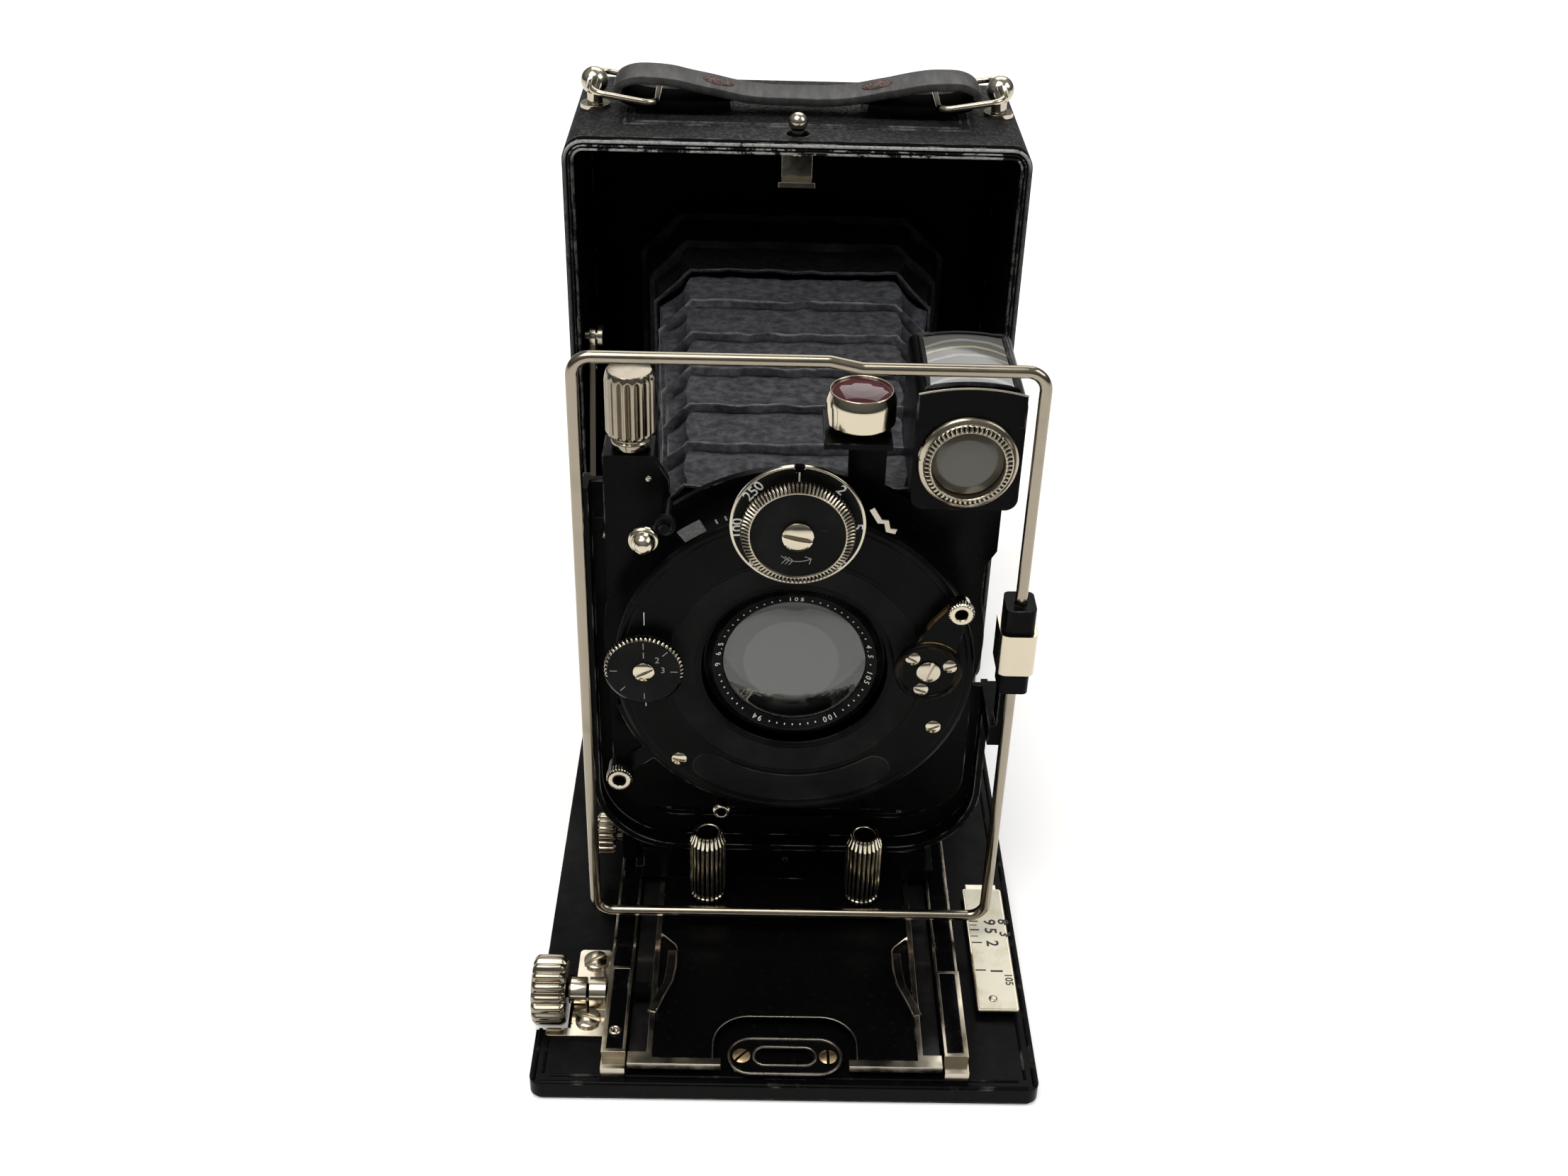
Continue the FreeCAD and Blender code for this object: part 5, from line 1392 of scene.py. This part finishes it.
def finder():
    lo, hi = low("finder_body"), high("finder_body")
    bezel = middle("finder_bezel")
    outer = (high("finder_bezel").x - low("finder_bezel").x) / 2
    setting = aim((bezel.x, lo.y, bezel.z), -Y)
    bm = bmesh.new()
    profile = [(5.6, -0.3), (7.3, -0.3), (outer, 0.0), (outer, 0.35), (outer - 0.25, 0.8), (7.1, 1.0),
               (6.85, 1.1), (6.8, 1.3, 0.1), (6.65, 1.45, 0.45), (6.05, 1.6, 0.45), (5.95, 1.72, 0.1),
               (5.8, 1.75), (5.6, 1.55), (5.6, -0.3)]
    turned(bm, profile, setting, 0.1, 54 * 8, flutes(54, 0.9))
    milling = milled("bezel_milling", bezel, "Y", 54, (6.02, 6.72))
    add_piece("milled_bezel", bm, "finder", [milling], ["finder_bezel"], sharp_deg=32)
    bm = bmesh.new()
    for turn in (90, 38, 175):
        stroke(bm, polar(7.05, turn), polar(7.55, turn), 0.16, setting @ Matrix.Translation((0, 0, 0.88)))
    add_piece("bezel_marks", bm, "finder", [INK])

    bm = bmesh.new()
    turned(bm, [(0, -0.9), (5.55, -0.9), (5.55, 0.1), (4, 0.55), (2, 0.85), (0, 0.95)], setting, 0.05, 64)
    add_piece("finder_lens", bm, "finder", [FINDER_LENS], ["finder_optics"], sharp_deg=60)

    # the glass on top is curved across, in a black frame that follows it
    x0, x1, y0, y1 = lo.x + 1.45, hi.x - 1.45, lo.y + 1.65, hi.y - 1.65
    middle_x, half = (x0 + x1) / 2, (x1 - x0) / 2

    def top(x, y):
        u, v = (x - middle_x) / half, (2 * y - y0 - y1) / (y1 - y0)
        return hi.z + 1.1 - 0.75 * u * u - 0.35 * v * v

    bm = bmesh.new()
    columns, rows = 20, 14
    grid = [[bm.verts.new(Vector((x0 + (x1 - x0) * i / columns, y0 + (y1 - y0) * j / rows, 0)) * MM)
             for i in range(columns + 1)] for j in range(rows + 1)]
    for row in grid:
        for vert in row:
            vert.co.z = top(vert.co.x / MM, vert.co.y / MM) * MM
    for j in range(rows):
        for i in range(columns):
            bm.faces.new((grid[j][i], grid[j][i + 1], grid[j + 1][i + 1], grid[j + 1][i]))
    skirt = bmesh.ops.extrude_face_region(bm, geom=bm.faces[:])
    for vert in [v for v in skirt["geom"] if isinstance(v, bmesh.types.BMVert)]:
        vert.co.z = (hi.z - 1.4) * MM
    pane = banded_glass("finder_bands", Vector((middle_x, (y0 + y1) / 2, hi.z)))
    add_piece("finder_top_glass", bm, "finder", [pane], sharp_deg=40)

    bm = bmesh.new()
    run = [(x0 + (x1 - x0) * k / 12, y0) for k in range(13)]
    run += [(x1, y0 + (y1 - y0) * k / 8) for k in range(1, 8)]
    run += [(x1 - (x1 - x0) * k / 12, y1) for k in range(13)]
    run += [(x0, y1 - (y1 - y0) * k / 8) for k in range(1, 8)]
    loop = [Vector((x, y, top(x, y) + 0.1)) for x, y in run]
    swept(bm, loop, [(-0.75, -1.4), (0.3, -1.4), (0.3, 0.0), (0.0, 0.25), (-0.5, 0.2), (-0.75, -0.1)],
          closed=True)
    add_piece("finder_rim", bm, "finder", [ENAMEL])

    arch = [(x, hi.z + 0.95 - 0.75 * ((x - middle_x) / half) ** 2) for x in
            [lo.x + 0.1 + (hi.x - lo.x - 0.2) * k / 20 for k in range(21)]]
    front_setting = aim((0, lo.y + 0.3, 0), -Y)
    bm = bmesh.new()
    extruded(bm, [(lo.x + 0.1, hi.z - 5.5)] + [(hi.x - 0.1, hi.z - 5.5)] + list(reversed(arch)), 0.45,
             front_setting, 0.1)
    add_piece("finder_brow", bm, "finder", [ENAMEL])
    bm = bmesh.new()
    swept(bm, [Vector((x, lo.y - 0.1, z)) for x, z in arch], circle(0.16, 6))
    add_piece("finder_brow_edge", bm, "finder", [DARK_NICKEL])

    bm = bmesh.new()
    corners = [(y0 - 1.0, lo.z + 1.9), (y1 + 0.4, hi.z - 4.4), (y1 + 0.4, hi.z - 5.2), (y0 - 0.6, lo.z + 1.3)]
    sheet = [[bm.verts.new(Vector((x, y, z)) * MM) for y, z in corners] for x in (x0, x1)]
    for k in range(4):
        bm.faces.new((sheet[0][k], sheet[0][(k + 1) % 4], sheet[1][(k + 1) % 4], sheet[1][k]))
    bm.faces.new(sheet[0])
    bm.faces.new(list(reversed(sheet[1])))
    add_piece("finder_mirror", bm, "finder", [MIRROR])


def level():
    lo, hi = low("level_cup"), high("level_cup")
    mid, radius = (lo + hi) / 2, (hi.x - lo.x) / 2
    setting = aim((mid.x, mid.y, lo.z), Z)
    bm = bmesh.new()
    profile = [(0, 0), (radius - 1.9, 0), (radius - 1.7, 0.5), (radius - 0.5, 0.9), (radius, 1.5),
               (radius, 4.9), (radius - 0.1, 5.3), (radius - 0.5, 6.45), (radius - 0.62, 6.6),
               (radius - 0.75, 6.5), (radius - 0.8, 5.6), (0, 5.5)]
    turned(bm, profile, setting, 0.14, 96)
    add_piece("level_case", bm, "lens_board", [BRIGHT_NICKEL], ["level_cup"])
    bm = bmesh.new()
    glass_r = radius - 0.74
    turned(bm, [(0, 5.5), (glass_r, 5.5), (glass_r, 6.25), (glass_r * 0.7, 6.75), (glass_r * 0.35, 6.95),
                (0, 7.0)], setting,
           0.05, 72)
    add_piece("level_window", bm, "lens_board", [RED_GLASS], ["level_glass"], sharp_deg=60)
    bm = bmesh.new()
    turned(bm, [(0, 5.75), (1.35, 5.85), (1.5, 6.1), (1.3, 6.35), (0, 6.5)],
           setting @ Matrix.Translation((-0.4, 0.5, 0)), 0.05, 36)
    add_piece("level_bubble", bm, "lens_board", [BUBBLE], sharp_deg=60)


LEVER_ENAMEL = enamel("lever_enamel", wear=1.1, gloss=0.3, bare=(0.42, 0.28, 0.11))
BARREL_BLACK = turned_black("barrel_black", LENS, base=0.005, rough=0.3, per_mm=1.2)
MIRROR = plated("finder_mirror_plate", tint=(0.5, 0.52, 0.5), rough=0.16, tarnish=0.5)
BUBBLE = glass("level_bubble_glass", (0.3, 0.2, 0.2), 0.15, 0.5, 1.2)


# ---------------------------------------------------------------- studio

def studio():
    scene = bpy.context.scene
    bpy.ops.mesh.primitive_plane_add(size=8, location=(0, 0, -0.0002))
    floor = bpy.context.object
    floor.name = "floor"
    floor.data.materials.append(paper_white())

    world = bpy.data.worlds.new("studio_world")
    world.use_nodes = True
    tree = world.node_tree
    coords = tree.nodes.new("ShaderNodeTexCoord")
    split = tree.nodes.new("ShaderNodeSeparateXYZ")
    tree.links.new(coords.outputs["Generated"], split.inputs[0])
    ramp = tree.nodes.new("ShaderNodeValToRGB")
    ramp.color_ramp.elements[0].position = 0.0
    ramp.color_ramp.elements[0].color = (0.10, 0.098, 0.095, 1)
    ramp.color_ramp.elements[1].position = 0.75
    ramp.color_ramp.elements[1].color = (1.0, 0.99, 0.97, 1)
    tree.links.new(split.outputs["Z"], ramp.inputs["Fac"])
    tree.links.new(ramp.outputs["Color"], tree.nodes["Background"].inputs["Color"])
    tree.nodes["Background"].inputs["Strength"].default_value = 0.4
    scene.world = world

    lights = (("key", (-0.3, -0.35, 1.1), 0.8, 10.0, (1.0, 0.985, 0.96)),
              ("fill", (0.85, -0.2, 0.8), 0.6, 3.5, (0.97, 0.985, 1.0)),
              ("back", (0.1, 0.8, 0.9), 0.9, 5.0, (1.0, 0.99, 0.97)))
    target = Vector((0, 0.02, 0.05))
    for name, place, size, power, color in lights:
        data = bpy.data.lights.new(name, "AREA")
        data.shape = "SQUARE"
        data.size = size
        data.energy = power
        data.color = color
        lamp = bpy.data.objects.new(name, data)
        lamp.location = place
        lamp.rotation_euler = (target - Vector(place)).to_track_quat("-Z", "Y").to_euler()
        scene.collection.objects.link(lamp)

    scene.view_settings.view_transform = "Standard"


def camera():
    """The camera looks down on the front, a little from the left."""
    place = Vector((-0.00605, -0.27090, 0.22395))
    yaw, pitch, roll = math.radians(1.07), math.radians(32.73), math.radians(1.66)
    ahead = Vector((math.sin(yaw) * math.cos(pitch), math.cos(yaw) * math.cos(pitch), -math.sin(pitch)))
    level_right = Vector((math.cos(yaw), -math.sin(yaw), 0))
    down = ahead.cross(level_right)
    right = level_right * math.cos(roll) - down * math.sin(roll)
    up = -(level_right * math.sin(roll) + down * math.cos(roll))
    data = bpy.data.cameras.new("camera")
    data.sensor_width = 36
    data.lens = 36 * 2411 / 2212
    data.clip_start = 0.01
    holder = bpy.data.objects.new("camera", data)
    turn = Matrix((right, up, -ahead)).transposed().to_4x4()
    holder.matrix_world = Matrix.Translation(place) @ turn
    bpy.context.scene.collection.objects.link(holder)
    bpy.context.scene.camera = holder


def main():
    camera()
    studio()
    dress_frame()
    body_trim()
    hand_strap()
    bellows()
    focus_knob()
    bearing_sleeve()
    bed_screws()
    catch_trim()
    bed_trim()
    leaf_guards()
    distance_scale()
    grips()
    spindle_knobs()
    frame_trim()
    shutter_face()
    speed_dial()
    mode_dial()
    release_lever()
    rim_details()
    levers()
    lens()
    finder()
    level()


main()
